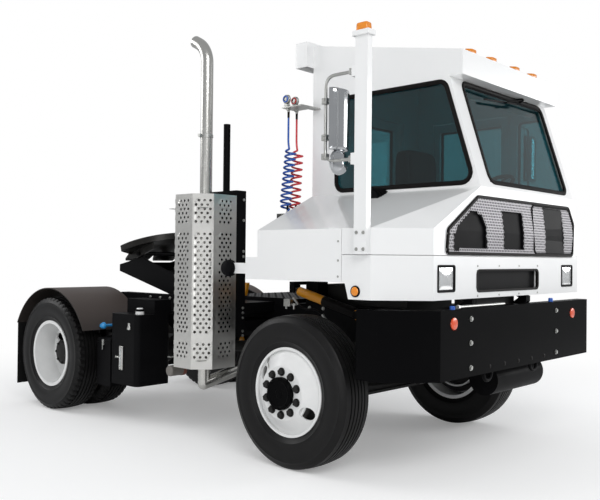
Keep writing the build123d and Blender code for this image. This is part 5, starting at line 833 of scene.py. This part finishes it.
upright_loop([(-0.295, 1.935), (pillar_x(1.935), 1.935), (pillar_x(2.65), 2.65), (-0.295, 2.65)], 0.07, -0.30, -1,
             "right_window_rubber", "cab_right_wall")
upright_loop([(0.49, 1.935), (pillar_x(1.935), 1.935), (pillar_x(2.58), 2.58), (0.49, 2.58)], 0.04, 1.18, 1,
             "left_quarter_window_rubber", "cab_left_wall")
upright_loop(rectangle(-0.265, 1.84, 0.345, 2.565), 0.03, 1.18, 1, "door_window_rubber", "left_door")
SCREEN_TOP = 2.662
screen = rounded(rectangle(-0.15, 1.945, 1.09, SCREEN_TOP), 0.06)
path = np.column_stack([pillar_x(screen[:, 1], 0.0), screen])
outwards = unit((EAVE_Z - SILL_Z, 0, FRONT_X - TOP_X))
add_piece("windscreen_rubber", carried(path, RUBBER, outwards, True), SEAL_RUBBER, "windscreen_wall")
band = rounded(rectangle(-0.135, 2.625, 1.075, SCREEN_TOP), 0.012)
shade = plate(band, 0.002, lambda a, b, depth: np.array((pillar_x(b, 0.0), a, b)) + outwards * (0.0015 + depth))
add_piece("windscreen_shade_band", shade, BLACK_PLASTIC, "windscreen_wall", smooth=False)
rear = rounded(rectangle(0.325, 1.84, 0.815, 2.57), 0.03)
path = np.column_stack([np.full(len(rear), -0.578), rear])
add_piece("rear_door_window_rubber", carried(path, RUBBER, (-1, 0, 0), True), SEAL_RUBBER, "rear_door")

# %% [markdown]
# ## Mirrors
# The right mirror hangs on a bent tube beside its post: a tall flat glass in a half-round polished steel
# housing, and a round convex one below it. Clamps hold the tube's ends. The left mirror is a tall glass
# alone, on a tube from the cab's wall.

# %% Mirrors
ARM_Y, ARM_X, ARM_HIGH, ARM_LOW = -1.2225, 0.383, 2.555, 2.02
HEADS = ((0.428, -1.15), (0.49, 1.358))
SHELL_T, HEAD_W, HEAD_H, HEAD_Z = 0.058, 0.178, 0.390, 2.2875
CONVEX_R, TUBE_R, PANE_SET = 0.082, 0.0105, 0.004


def mirror_housing(x, y):
    """A half-round shell: sideways cos t and forwards sin t, drawn in to round caps at its top and bottom."""
    turn = np.linspace(0, np.pi, 33)
    levels = [(0.0, 0.0), (0.0, 0.72), (0.005, 0.9), (0.014, 0.985), (0.03, 1.0)]
    levels += [(HEAD_H - rise, share) for rise, share in reversed(levels)]
    points = [(x - PANE_SET + SHELL_T * math.sin(t) * share, y + HEAD_W / 2 * math.cos(t) * (0.9 + share / 10),
               HEAD_Z - HEAD_H / 2 + rise) for rise, share in levels for t in turn]
    return points, quads(len(levels), len(turn))


def mirror_pane(x, y):
    """The flat glass on the housing's rear side."""
    half_w, half_h = HEAD_W / 2 - 0.006, HEAD_H / 2 - 0.006
    edge = rounded(rectangle(y - half_w, HEAD_Z - half_h, y + half_w, HEAD_Z + half_h), 0.025)
    return plate(edge, 0.003, lambda a, b, depth: (x - PANE_SET - depth, a, b))


housings = join([mirror_housing(x, y) for x, y in HEADS])
housing = add_piece("mirror_housings", housings, CHROME, "mirrors")
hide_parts("mirrors")
panes = join([mirror_pane(x, y) for x, y in HEADS])
add_piece("mirror_panes", panes, MIRROR_GLASS, "mirrors", smooth=False)
left_y = HEADS[1][1]
tubes = [pipe([(0.634, ARM_Y, ARM_HIGH), (ARM_X, ARM_Y, ARM_HIGH), (ARM_X, ARM_Y, ARM_LOW), (0.634, ARM_Y, ARM_LOW)],
              0.075, TUBE_R, (0, 1, 0)),
         pipe([(0.49, 1.18, ARM_HIGH), (0.49, left_y, ARM_HIGH), (0.49, left_y, ARM_LOW), (0.49, 1.18, ARM_LOW)],
              0.06, TUBE_R, (1, 0, 0))]
tubes += [rod_shape((ARM_X, ARM_Y, z), (0.43, -1.20, z), 0.007) for z in (2.17, 2.40)]
add_piece("mirror_tubes", join(tubes), ZINC, "mirrors")
dish = [(0.0, 0.038), (CONVEX_R * 0.6, 0.033), (CONVEX_R * 0.95, 0.018), (CONVEX_R, 0.004), (CONVEX_R * 0.98, -0.004)]
bulge = [(0.0, -0.014), (CONVEX_R * 0.5, -0.012), (CONVEX_R * 0.97, -0.003)]
ARM_JOIN = (0.428, -1.15, ARM_LOW)
stalk = rod_shape((0.44, -1.215, ARM_LOW), (0.44, -1.15, ARM_LOW), 0.008)
add_piece("convex_mirror_dish", join([lathe(dish, ARM_JOIN, (1, 0, 0)), stalk]), CHROME, "mirrors")
add_piece("convex_mirror_glass", lathe(bulge, ARM_JOIN, (1, 0, 0)), MIRROR_GLASS, "mirrors")
clamps, clamp_bolts = [], []
y = ARM_Y
for x, z in ((ARM_X, 2.17), (ARM_X, 2.40), (ARM_X, 2.05), (0.602, ARM_HIGH), (0.602, ARM_LOW)):
    clamps.append(block((x - 0.02, y - 0.018, z - 0.02), (x + 0.02, y + 0.018, z + 0.02)))
    clamp_bolts += [hexagon_bolt((x, y - 0.018, z + s * 0.011), (0, -1, 0), 0.006, 0.006) for s in (-1, 1)]
add_piece("mirror_clamps", join(clamps), ZINC, "mirrors", smooth=False, bevel_mm=3)
add_piece("mirror_clamp_bolts", join(clamp_bolts), ZINC, "mirrors", smooth=False)
bracket = [block((0.604, -1.2455, z - 0.035), (0.636, -1.1995, z + 0.035)) for z in (ARM_HIGH, ARM_LOW)]
add_piece("mirror_post_brackets", join(bracket), WHITE_ENAMEL, "mirror_post", smooth=False, bevel_mm=2)

# %% [markdown]
# ## Air hoses
# Two coiled nylon hoses run from the glad hands under the header down to the air block behind the cab. Each
# is one curve: a helix made by a loop, then the lead, whose points are those of the CAD's straight lead.

# %% Coiled hoses
HOSE_R, COIL_R, COIL_X = 0.008, 0.041, -0.63
BLOCK_TOP, COIL_TOP, HOLDER_Z = 1.76, 2.29, 2.59
POINTS_A_TURN = 16
# colour, y, lean of the coil from foot to top, turns, finish, record slot, nodes that the hose stands for
HOSES = (("red", -0.395, 0.03, 9, RED_NYLON, "red_hose", ("red_air_hose_coil",)),
         ("blue", -0.490, 0.06, 11, BLUE_NYLON, "blue_hose", ("blue_air_hose_coil", "air_hose_leads")))


def hose_points(y, lean, turns):
    """The hose's centreline from the air block up: a short stub, the helix and the straight lead."""
    path = [(COIL_X, y, BLOCK_TOP - 0.012), (COIL_X, y, BLOCK_TOP + 0.01)]
    low, high = BLOCK_TOP + 0.03, COIL_TOP - 0.02
    for k in range(turns * POINTS_A_TURN + 1):
        share = k / (turns * POINTS_A_TURN)
        turn = 2 * math.pi * turns * share
        width = COIL_R * min(1.0, 0.25 + share * 12, 0.25 + (1 - share) * 12)
        shift = lean * (share - 0.5) * min(1.0, share * 12, (1 - share) * 12)
        path.append((COIL_X + shift + width * math.cos(turn), y + width * math.sin(turn),
                     low + (high - low) * share))
    return path + [(COIL_X, y, z) for z in (COIL_TOP + 0.03, COIL_TOP + 0.12, COIL_TOP + 0.21, HOLDER_Z - 0.012)]


def hose_curve(name, path, radius, material, node):
    """A tube along a curve of order three through its control points, its ends on the last ones."""
    curve = bpy.data.curves.new(name, "CURVE")
    curve.dimensions, curve.bevel_depth, curve.bevel_resolution, curve.resolution_u = "3D", radius, 4, 4
    curve.use_fill_caps = True
    spline = curve.splines.new("NURBS")
    spline.points.add(len(path) - 1)
    for point, place in zip(spline.points, path):
        point.co = (*place, 1.0)
    spline.order_u, spline.use_endpoint_u = 3, True
    curve.materials.append(material)
    hose = bpy.data.objects.new(name, curve)
    bpy.context.scene.collection.objects.link(hose)
    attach(hose, BODY[node])
    return hose


for word, y, lean, turns, material, slot, stands_for in HOSES:
    path = hose_points(y, lean, turns)
    hose = hose_curve(f"{word}_air_hose", path, HOSE_R, material, stands_for[0])
    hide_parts(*stands_for)
    fittings, sleeves = [], []
    for z, s in ((BLOCK_TOP, 1), (HOLDER_Z, -1)):
        fittings.append(lathe([(0, 0), (0.0145, 0), (0.0145, 0.014), (0.0105, 0.016), (0.0105, 0.028), (0.0, 0.028)],
                              (COIL_X, y, z), (0, 0, s), 6))
        sleeves.append(lathe([(0.0, 0.026), (0.0095, 0.026), (0.009, 0.07), (0.0075, 0.075)],
                             (COIL_X, y, z), (0, 0, s), 16))
    add_piece(f"{word}_hose_fittings", join(fittings), ZINC, "hose_brackets", smooth=False)
    add_piece(f"{word}_hose_sleeves", join(sleeves), SEAL_RUBBER, "hose_brackets")

# %% Glad hands on the holder
def glad_hand(x, y, z, facing):
    """A coupling head: a round pad with its claw and a port below."""
    face = [(0, 0), (0.034, 0), (0.037, 0.006), (0.034, 0.022), (0.024, 0.026), (0.0, 0.026)]
    return join([lathe(face, (x, y, z), facing, 28),
                 block((x - 0.03, y - 0.012, z - 0.05), (x + 0.012, y + 0.012, z - 0.01)),
                 rod_shape((x, y, z - 0.085), (x, y, z - 0.03), 0.012, 12)])


HAND_YS, HAND_Z = (-0.405, -0.500), 2.66
hands = join([glad_hand(COIL_X, y, HAND_Z, (0, -1, 0)) for y in HAND_YS])
add_piece("glad_hands", hands, ZINC, "hose_brackets", bevel_mm=1.5)
seals = [lathe([(0.017, 0.026), (0.028, 0.026), (0.027, 0.031), (0.018, 0.031)], (COIL_X, y, HAND_Z), (0, -1, 0), 28)
         for y in HAND_YS]
add_piece("red_coupling_seal", seals[0], RED_LENS, "hose_brackets")
add_piece("blue_coupling_seal", seals[1], BLUE_CAP, "hose_brackets")
stand = join([block((-0.64, y - 0.02, 2.6), (-0.62, y + 0.02, 2.62)) for y in HAND_YS])
add_piece("glad_hand_feet", stand, ZINC, "hose_brackets", bevel_mm=1)

# %% [markdown]
# ## The driver's place
# A sprung seat with stitched cushions, seen as a dark shape through the glass, and a three-spoke wheel.

# %% Seat
def pad(low, high, crown, flutes=0, along=1):
    """A stuffed cushion: a rounded box whose broad faces swell by the crown, with sewn flutes across it."""
    low, high = np.array(low), np.array(high)
    middle, half = (low + high) / 2, (high - low) / 2
    count = 40
    u = np.linspace(-np.pi / 2, np.pi / 2, count)
    v = np.linspace(-np.pi, np.pi, count * 2, endpoint=False)
    uu, vv = np.meshgrid(u, v, indexing="ij")
    power = lambda t: np.sign(t) * np.abs(t) ** 0.28
    ring = power(np.cos(uu))
    shape = np.stack([ring * power(np.cos(vv)), ring * power(np.sin(vv)), power(np.sin(uu))], -1)
    thin = int(np.argmin(half))
    others = [k for k in range(3) if k != thin]
    swell = (1 - shape[..., others[0]] ** 2) * (1 - shape[..., others[1]] ** 2)
    points = shape * half
    points[..., thin] += np.sign(shape[..., thin]) * crown * swell
    if flutes:
        wave = np.abs(np.sin(shape[..., along] * flutes * np.pi / 2))
        points[..., thin] -= np.sign(shape[..., thin]) * 0.007 * (1 - wave) ** 3 * (np.abs(shape[..., thin]) > 0.9)
    return (points + middle).reshape(-1, 3), quads(count, count * 2, close_columns=True)


base = add_piece("seat_cushion", pad((-0.262, 0.418, 1.61), (0.222, 0.902, 1.725), 0.018, 5, 1), SEAT_CLOTH,
                 "seat")
back = add_piece("seat_back_cushion", pad((-0.262, 0.418, 1.70), (-0.138, 0.902, 2.335), 0.02, 5, 1), SEAT_CLOTH,
                 "seat")
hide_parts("seat")
bellows = []
for k in range(7):
    reach = 0.15 if k % 2 else 0.175
    fold = rectangle(-0.02 - reach, 0.66 - reach, -0.02 + reach, 0.66 + reach)
    bellows += [(x, y, 1.30 + k * 0.045) for x, y in fold]
add_piece("seat_bellows", (bellows, quads(7, 4, close_columns=True)), BLACK_PLASTIC, "seat",
          smooth=False, bevel_mm=6)
plinth = block((-0.2, 0.48, 1.28), (0.16, 0.84, 1.305))
add_piece("seat_plinth", plinth, CHASSIS_BLACK, "seat", bevel_mm=3)
pan = block((-0.22, 0.46, 1.565), (0.19, 0.86, 1.625))
add_piece("seat_pan", pan, BLACK_PLASTIC, "seat", bevel_mm=8)
rests = [pad((-0.12, y - 0.028, 1.88), (0.14, y + 0.028, 1.93), 0.004) for y in (0.40, 0.92)]
arms = add_piece("seat_arm_rests", join(rests), BLACK_PLASTIC, "seat")
hub = lathe([(0, 0.02), (0.05, 0.018), (0.062, 0.006), (0.06, -0.012), (0.0, -0.014)], (0.48, 0.66, 1.96),
            (-math.sin(math.radians(30)), 0, math.cos(math.radians(30))), 32)
add_piece("steering_wheel_pad", hub, BLACK_PLASTIC, "steering_wheel")

# %% [markdown]
# ## Bumper, frame and tanks
# Heavy bolts, reflectors, hose caps on the bumper's shelf, a tow bar, frame bolts, a sight gauge and the
# breather on the hydraulic tank, and raised lozenges on the deck.

# %% Bumper
BUMPER_X = 1.065
left_bolts = [(BUMPER_X, -0.597, z) for z in (1.042, 0.891, 0.734)]
right_bolts = [(BUMPER_X, 0.647, z) for z in (1.041, 0.888, 0.731)]
bolts("bumper_bolts", left_bolts + right_bolts, (1, 0, 0), 0.014, 0.011, ZINC, "front_bumper")
reflector = [lathe([(0, 0.008), (0.03, 0.008), (0.036, 0.006), (0.038, 0.0)], (BUMPER_X, y, z), (1, 0, 0), 36)
             for y, z in ((-0.80, 1.022), (0.934, 1.009))]
add_piece("bumper_reflectors", join(reflector), ORANGE_REFLECTOR, "front_bumper")
caps = [lathe([(0, tall), (wide * 0.8, tall), (wide, tall * 0.8), (wide, 0.0)], (1.047, y, 1.107), (0, 0, 1), 24)
        for y, wide, tall in ((-0.79, 0.017, 0.022), (0.59, 0.017, 0.028))]
add_piece("blue_hose_caps", join(caps), BLUE_CAP, "front_bumper")
bar_z = 1.118
tow = [rod_shape((1.04, -0.70, bar_z), (1.04, -0.12, bar_z), 0.01),
       lathe([(0, 0), (0.0145, 0), (0.0145, 0.02), (0, 0.02)], (1.04, -0.72, bar_z), (0, 1, 0), 6)]
add_piece("tow_pin", join(tow), ZINC, "front_bumper")
hooks = []
for y in (-0.33, 0.33):
    arc = np.linspace(-0.2, math.pi * 1.15, 18)
    bend = np.column_stack([np.full(len(arc), 1.035), y + 0.05 * np.cos(arc), 0.672 - 0.048 * np.sin(arc)])
    hooks.append(carried(bend, circle(0.011), (1, 0, 0)))
add_piece("tow_loops", join(hooks), CHASSIS_BLACK, "front_bumper")
plate_holes = [lathe([(0.0, 0.002), (0.012, 0.002), (0.015, 0.0)], (BUMPER_X, y, 0.72), (1, 0, 0), 16)
               for y in np.linspace(-0.35, 0.45, 5)]
add_piece("bumper_plugs", join(plate_holes), SEAL_RUBBER, "front_bumper")

# %% Cap and bracket behind the side panel
CAP = (-0.534, -1.165, 1.337)
CAP_R = 0.055
cap_shell = lathe([(0.0, 0.068), (0.038, 0.068), (0.05, 0.06), (CAP_R, 0.046), (CAP_R, 0.0), (0.0, 0.0)],
                  CAP, (0, -1, 0), 40)
grips = [rod_shape((x, y - 0.008, z), (x, y - 0.044, z), 0.004, 6) for x, y, z in around(CAP, CAP_R, 24)]
add_piece("filler_cap", join([cap_shell] + grips), BLACK_PLASTIC, "side_panel")
stub = block((CAP[0] - 0.03, -1.185, 1.30), (-0.33, -1.165, 1.375))
add_piece("filler_cap_bracket", stub, WHITE_ENAMEL, "side_panel", bevel_mm=2)
wedge = plate([(-1.235, 1.085), (-1.215, 1.085), (-1.185, 1.20), (-1.25, 1.20)], 0.03,
              lambda a, b, depth: (a, -0.39 + depth, b))
add_piece("yellow_hose_guide", wedge, YELLOW_ENAMEL, "deck_and_steps", smooth=False, bevel_mm=2)

# %% Frame bolts
RAIL_BOLTS = ([(x, 1.03) for x in (-2.472, -2.321, -2.174, -2.02, -1.44, -1.30, -0.44, -0.30, 0.3, 0.66, 0.74)]
              + [(x, 0.83) for x in (-3.04, -2.94, -2.84, -2.3, -1.40, -1.30, -0.5, 0.50, 0.62, 0.66, 0.74)])
for side, word in ((-1, "right"), (1, "left")):
    places = [(x, side * 0.43, z) for x, z in RAIL_BOLTS]
    bolts(f"{word}_rail_bolts", places, (0, side, 0), 0.011, 0.012, ZINC, "frame_rails")

# %% Pipes beside the cab tilt cylinder
PIPE_Y = -0.62
valve = join([block((-0.52, PIPE_Y - 0.02, 1.045), (-0.455, PIPE_Y + 0.02, 1.10)),
              rod_shape((-0.44, PIPE_Y, 1.112), (-0.385, PIPE_Y, 1.062), 0.009),
              rod_shape((-0.51, PIPE_Y, 1.06), (-0.51, PIPE_Y, 1.025), 0.008),
              rod_shape((-0.43, PIPE_Y, 1.06), (-0.43, PIPE_Y, 1.025), 0.008),
              rod_shape((-0.455, PIPE_Y, 1.06), (-0.41, PIPE_Y, 1.06), 0.009),
              rod_shape((-0.145, PIPE_Y, 1.0), (-0.105, PIPE_Y, 0.955), 0.011)])
add_piece("levelling_valve", valve, ZINC, "frame_rails", smooth=False)
steel_line = carried([(-0.385, PIPE_Y, 1.062), (-0.36, PIPE_Y, 1.045), (-0.31, PIPE_Y, 1.032), (-0.26, PIPE_Y, 1.035),
                      (-0.21, PIPE_Y, 1.03), (-0.17, PIPE_Y, 1.016), (-0.145, PIPE_Y, 1.0)],
                     circle(0.007), (0, -1, 0))
stay = block((-0.50, PIPE_Y, 1.05), (-0.475, -0.42, 1.06))
add_piece("steel_air_line", join([steel_line, stay]), CHASSIS_BLACK, "frame_rails")
FOOT, HEAD = np.array((0.12, -0.52, 1.01)), np.array((-0.515, -0.52, 1.17))
BOOT = (FOOT + (HEAD - FOOT) * 0.035, FOOT + (HEAD - FOOT) * 0.53)
add_piece("cab_tilt_barrel_boot", rod_shape(BOOT[0], BOOT[1], 0.0375, 32), SEAL_RUBBER, "cab_tilt_barrel")

# %% Tanks and battery box
TANK_FACE = -1.1
gauge = block((-1.985, TANK_FACE - 0.014, 0.455), (-1.935, TANK_FACE + 0.001, 0.655))
add_piece("hydraulic_sight_gauge", gauge, STAINLESS, "tanks", bevel_mm=3)
GAUGE_X, GAUGE_Y = -1.96, TANK_FACE - 0.014
tube = rod_shape((GAUGE_X, GAUGE_Y, 0.48), (GAUGE_X, GAUGE_Y, 0.63), 0.01)
TAP = (-2.012, TANK_FACE - 0.012, 0.56)
tap = join([rod_shape((-1.985, TANK_FACE - 0.012, 0.56), TAP, 0.009),
            lathe([(0, 0.014), (0.013, 0.012), (0.014, 0.0), (0, 0)], TAP, (-1, 0, 0), 20)])
add_piece("gauge_tap", tap, ZINC, "tanks")
add_piece("sight_tube", tube, CLEAR_LENS, "tanks")
bolts("gauge_bolts", [(GAUGE_X, GAUGE_Y, z) for z in (0.465, 0.645)], (0, -1, 0), 0.008, 0.008, ZINC, "tanks")
breather = lathe([(0.0, 0.055), (0.022, 0.055), (0.03, 0.045), (0.034, 0.04), (0.036, 0.012), (0.037, 0.0)],
                 (-1.84, -1.01, 0.924), (0, 0, 1), 40)
add_piece("tank_breather", breather, WHITE_ENAMEL, "tanks")
vent = join([lathe([(0.0, 0.0), (0.02, 0.0), (0.02, 0.015), (0.013, 0.03), (0.013, 0.055), (0, 0.055)],
                   (-1.86, TANK_FACE, 0.80), (0, 0, 1), 24),
             rod_shape((-1.86, TANK_FACE + 0.02, 0.815), (-1.86, TANK_FACE - 0.004, 0.815), 0.012)])
add_piece("tank_vent", vent, ZINC, "tanks")
FILTER = (-1.50, -0.96, 0.48)
canister = join([lathe([(0, 0), (0.04, 0.0), (0.045, 0.006), (0.045, 0.125), (0, 0.125)], FILTER, (0, 1, 0), 32),
                 block((-1.60, -0.90, 0.47), (-1.50, -0.88, 0.49))])
add_piece("return_filter", canister, GREY_ENAMEL, "tanks")
filter_head = lathe([(0, 0.12), (0.048, 0.12), (0.048, 0.15), (0.03, 0.156), (0, 0.156)], FILTER, (0, 1, 0), 32)
add_piece("return_filter_head", filter_head, PRIMED_IRON, "tanks")
fuel_cap = lathe([(0.0, 0.03), (0.036, 0.03), (0.04, 0.024), (0.04, 0.0)], (-1.59, 1.01, 1.03), (0, 0, 1), 12)
add_piece("fuel_cap", fuel_cap, BLACK_PLASTIC, "tanks", bevel_mm=2)
straps = [block((x - 0.02, 0.748, 0.327), (x + 0.02, 1.1035, 0.988)) for x in (-2.02, -1.62)]
add_piece("fuel_tank_straps", join(straps), STAINLESS, "tanks", bevel_mm=2)
COUPLING = (-2.33, -1.03, 0.80)
coupling = join([lathe([(0, 0), (0.028, 0), (0.03, 0.012), (0.022, 0.03), (0.014, 0.04), (0.0, 0.04)],
                       COUPLING, (0, -1, 0), 32),
                 rod_shape(COUPLING, (-2.33, -0.90, 0.80), 0.012)])
add_piece("blue_test_coupling", coupling, SKY_CAP, "battery_box")
shelf = join([block((-2.36, -1.0, 0.70), (-2.19, -0.76, 0.708)), block((-2.37, -0.91, 0.70), (-2.29, -0.89, 0.84))])
add_piece("coupling_shelf", shelf, CHASSIS_BLACK, "battery_box", bevel_mm=1)
latch = [block((-2.26, -1.102, 0.64), (-2.235, -1.089, 0.69)), block((-2.252, -1.106, 0.60), (-2.243, -1.1, 0.67))]
add_piece("battery_box_latch", join(latch), ZINC, "battery_box", bevel_mm=1)
lid = block((-2.35, -1.096, 0.655), (-2.145, -1.085, 0.663))
add_piece("battery_lid_edge", lid, CHASSIS_BLACK, "battery_box", bevel_mm=1)

# %% Deck lozenges and step treads
DECK_XS, DECK_YS, DECK_Z = (-1.46, -0.60), (-0.40, 1.08), 1.09
# spacing, half length, half width, height
PITCH, LONG, WIDE, TALL = 0.042, 0.015, 0.0045, 0.0025
lozenges = []
for i, x in enumerate(np.arange(*DECK_XS, PITCH)):
    for j, y in enumerate(np.arange(*DECK_YS, PITCH)):
        turn = math.pi / 4 if (i + j) % 2 else -math.pi / 4
        ax, ay, bx, by = LONG * math.cos(turn), LONG * math.sin(turn), -WIDE * math.sin(turn), WIDE * math.cos(turn)
        tips = [(x - ax, y - ay), (x + bx, y + by), (x + ax, y + ay), (x - bx, y - by)]
        lozenges.append(([(*tip, DECK_Z) for tip in tips] + [(x, y, DECK_Z + TALL)],
                         [(0, 3, 4), (3, 2, 4), (2, 1, 4), (1, 0, 4)]))
add_piece("deck_lozenges", join(lozenges), CHASSIS_BLACK, "deck_and_steps", smooth=False)
treads = [block((x, 0.875, z + 0.025), (x + 0.008, 1.085, z + 0.031))
          for z in (0.42, 0.74) for x in np.arange(-1.26, -0.79, 0.034)]
add_piece("step_treads", join(treads), CHASSIS_BLACK, "deck_and_steps", smooth=False)
print(len(lozenges), "lozenges")

# %% [markdown]
# ## Handles, rails, a wiper and small hardware of the cab

# %% Cab hardware
handle = join([block((-0.30, 1.18, 1.72), (-0.18, 1.187, 1.79)),
               pipe([(-0.285, 1.188, 1.755), (-0.285, 1.215, 1.755), (-0.195, 1.215, 1.755), (-0.195, 1.188, 1.755)],
                    0.018, 0.007, (0, 0, 1))])
add_piece("left_door_handle", handle, BLACK_PLASTIC, "left_door", bevel_mm=1)
pull = pipe([(-0.579, 0.27, 1.65), (-0.615, 0.27, 1.65), (-0.615, 0.27, 1.83), (-0.579, 0.27, 1.83)],
            0.02, 0.009, (0, 1, 0))
add_piece("rear_door_pull", pull, BLACK_PLASTIC, "rear_door")
RAIL_Y = 1.18 + 0.055
grab = [pipe([(0.52, 1.18, 1.36), (0.52, RAIL_Y, 1.36), (0.52, RAIL_Y, 1.84), (0.52, 1.18, 1.84)],
             0.025, 0.012, (1, 0, 0)),
        pipe([(-0.54, 1.02, 1.45), (-0.60, 1.02, 1.45), (-0.60, 1.02, 2.05), (-0.54, 1.02, 2.05)],
             0.025, 0.012, (0, 1, 0))]
add_piece("grab_rails", join(grab), CHASSIS_BLACK, "cab_left_wall")
wiper_z, wiper_y = 2.668, 0.72
foot = np.array((pillar_x(wiper_z, -0.014), wiper_y, wiper_z))
elbow = np.array((pillar_x(2.60, -0.03), wiper_y - 0.30, 2.60))
blade_line = np.array([(pillar_x(z, -0.016), y, z) for y, z in ((wiper_y - 0.62, 2.575), (wiper_y - 0.10, 2.62))])
blade = carried(blade_line, [(-0.007, -0.003), (-0.004, 0.01), (0.004, 0.01), (0.007, -0.003)], (-1, 0, 0))
pivot = lathe([(0, 0.026), (0.017, 0.024), (0.021, 0.0), (0.021, -0.012)], foot, (1, 0, 0.3), 20)
add_piece("windscreen_wiper", join([rod_shape(foot + (0.014, 0, 0), elbow, 0.0065), blade, pivot]), BLACK_PLASTIC,
          "windscreen_wall")
panel_bolts = [(0.476, -1.2, z) for z in (1.30, 1.40, 1.52)]
bolts("side_panel_bolts", panel_bolts, (0, -1, 0), 0.006, 0.004, ZINC, "side_panel")
post_bolts = [(x, -1.2455, z) for x in (0.655, 0.707) for z in (1.47, 1.57)]
bolts("mirror_post_bolts", post_bolts, (0, -1, 0), 0.009, 0.007, ZINC, "mirror_post")
header_bolts = [(-0.661, y, z) for y in np.linspace(-0.33, 1.10, 8) for z in (2.96, 3.10)]
bolts("header_bolts", header_bolts, (-1, 0, 0), 0.006, 0.004, ZINC, "door_header")
bands = [carried(np.array(around((0.14, y, 1.82), 0.108, 48)), circle(0.004, 8), (0, 1, 0), True)
         for y in (-0.44, -0.40, -0.36)]
add_piece("air_intake_bands", join(bands), SEAL_RUBBER, "air_intake")
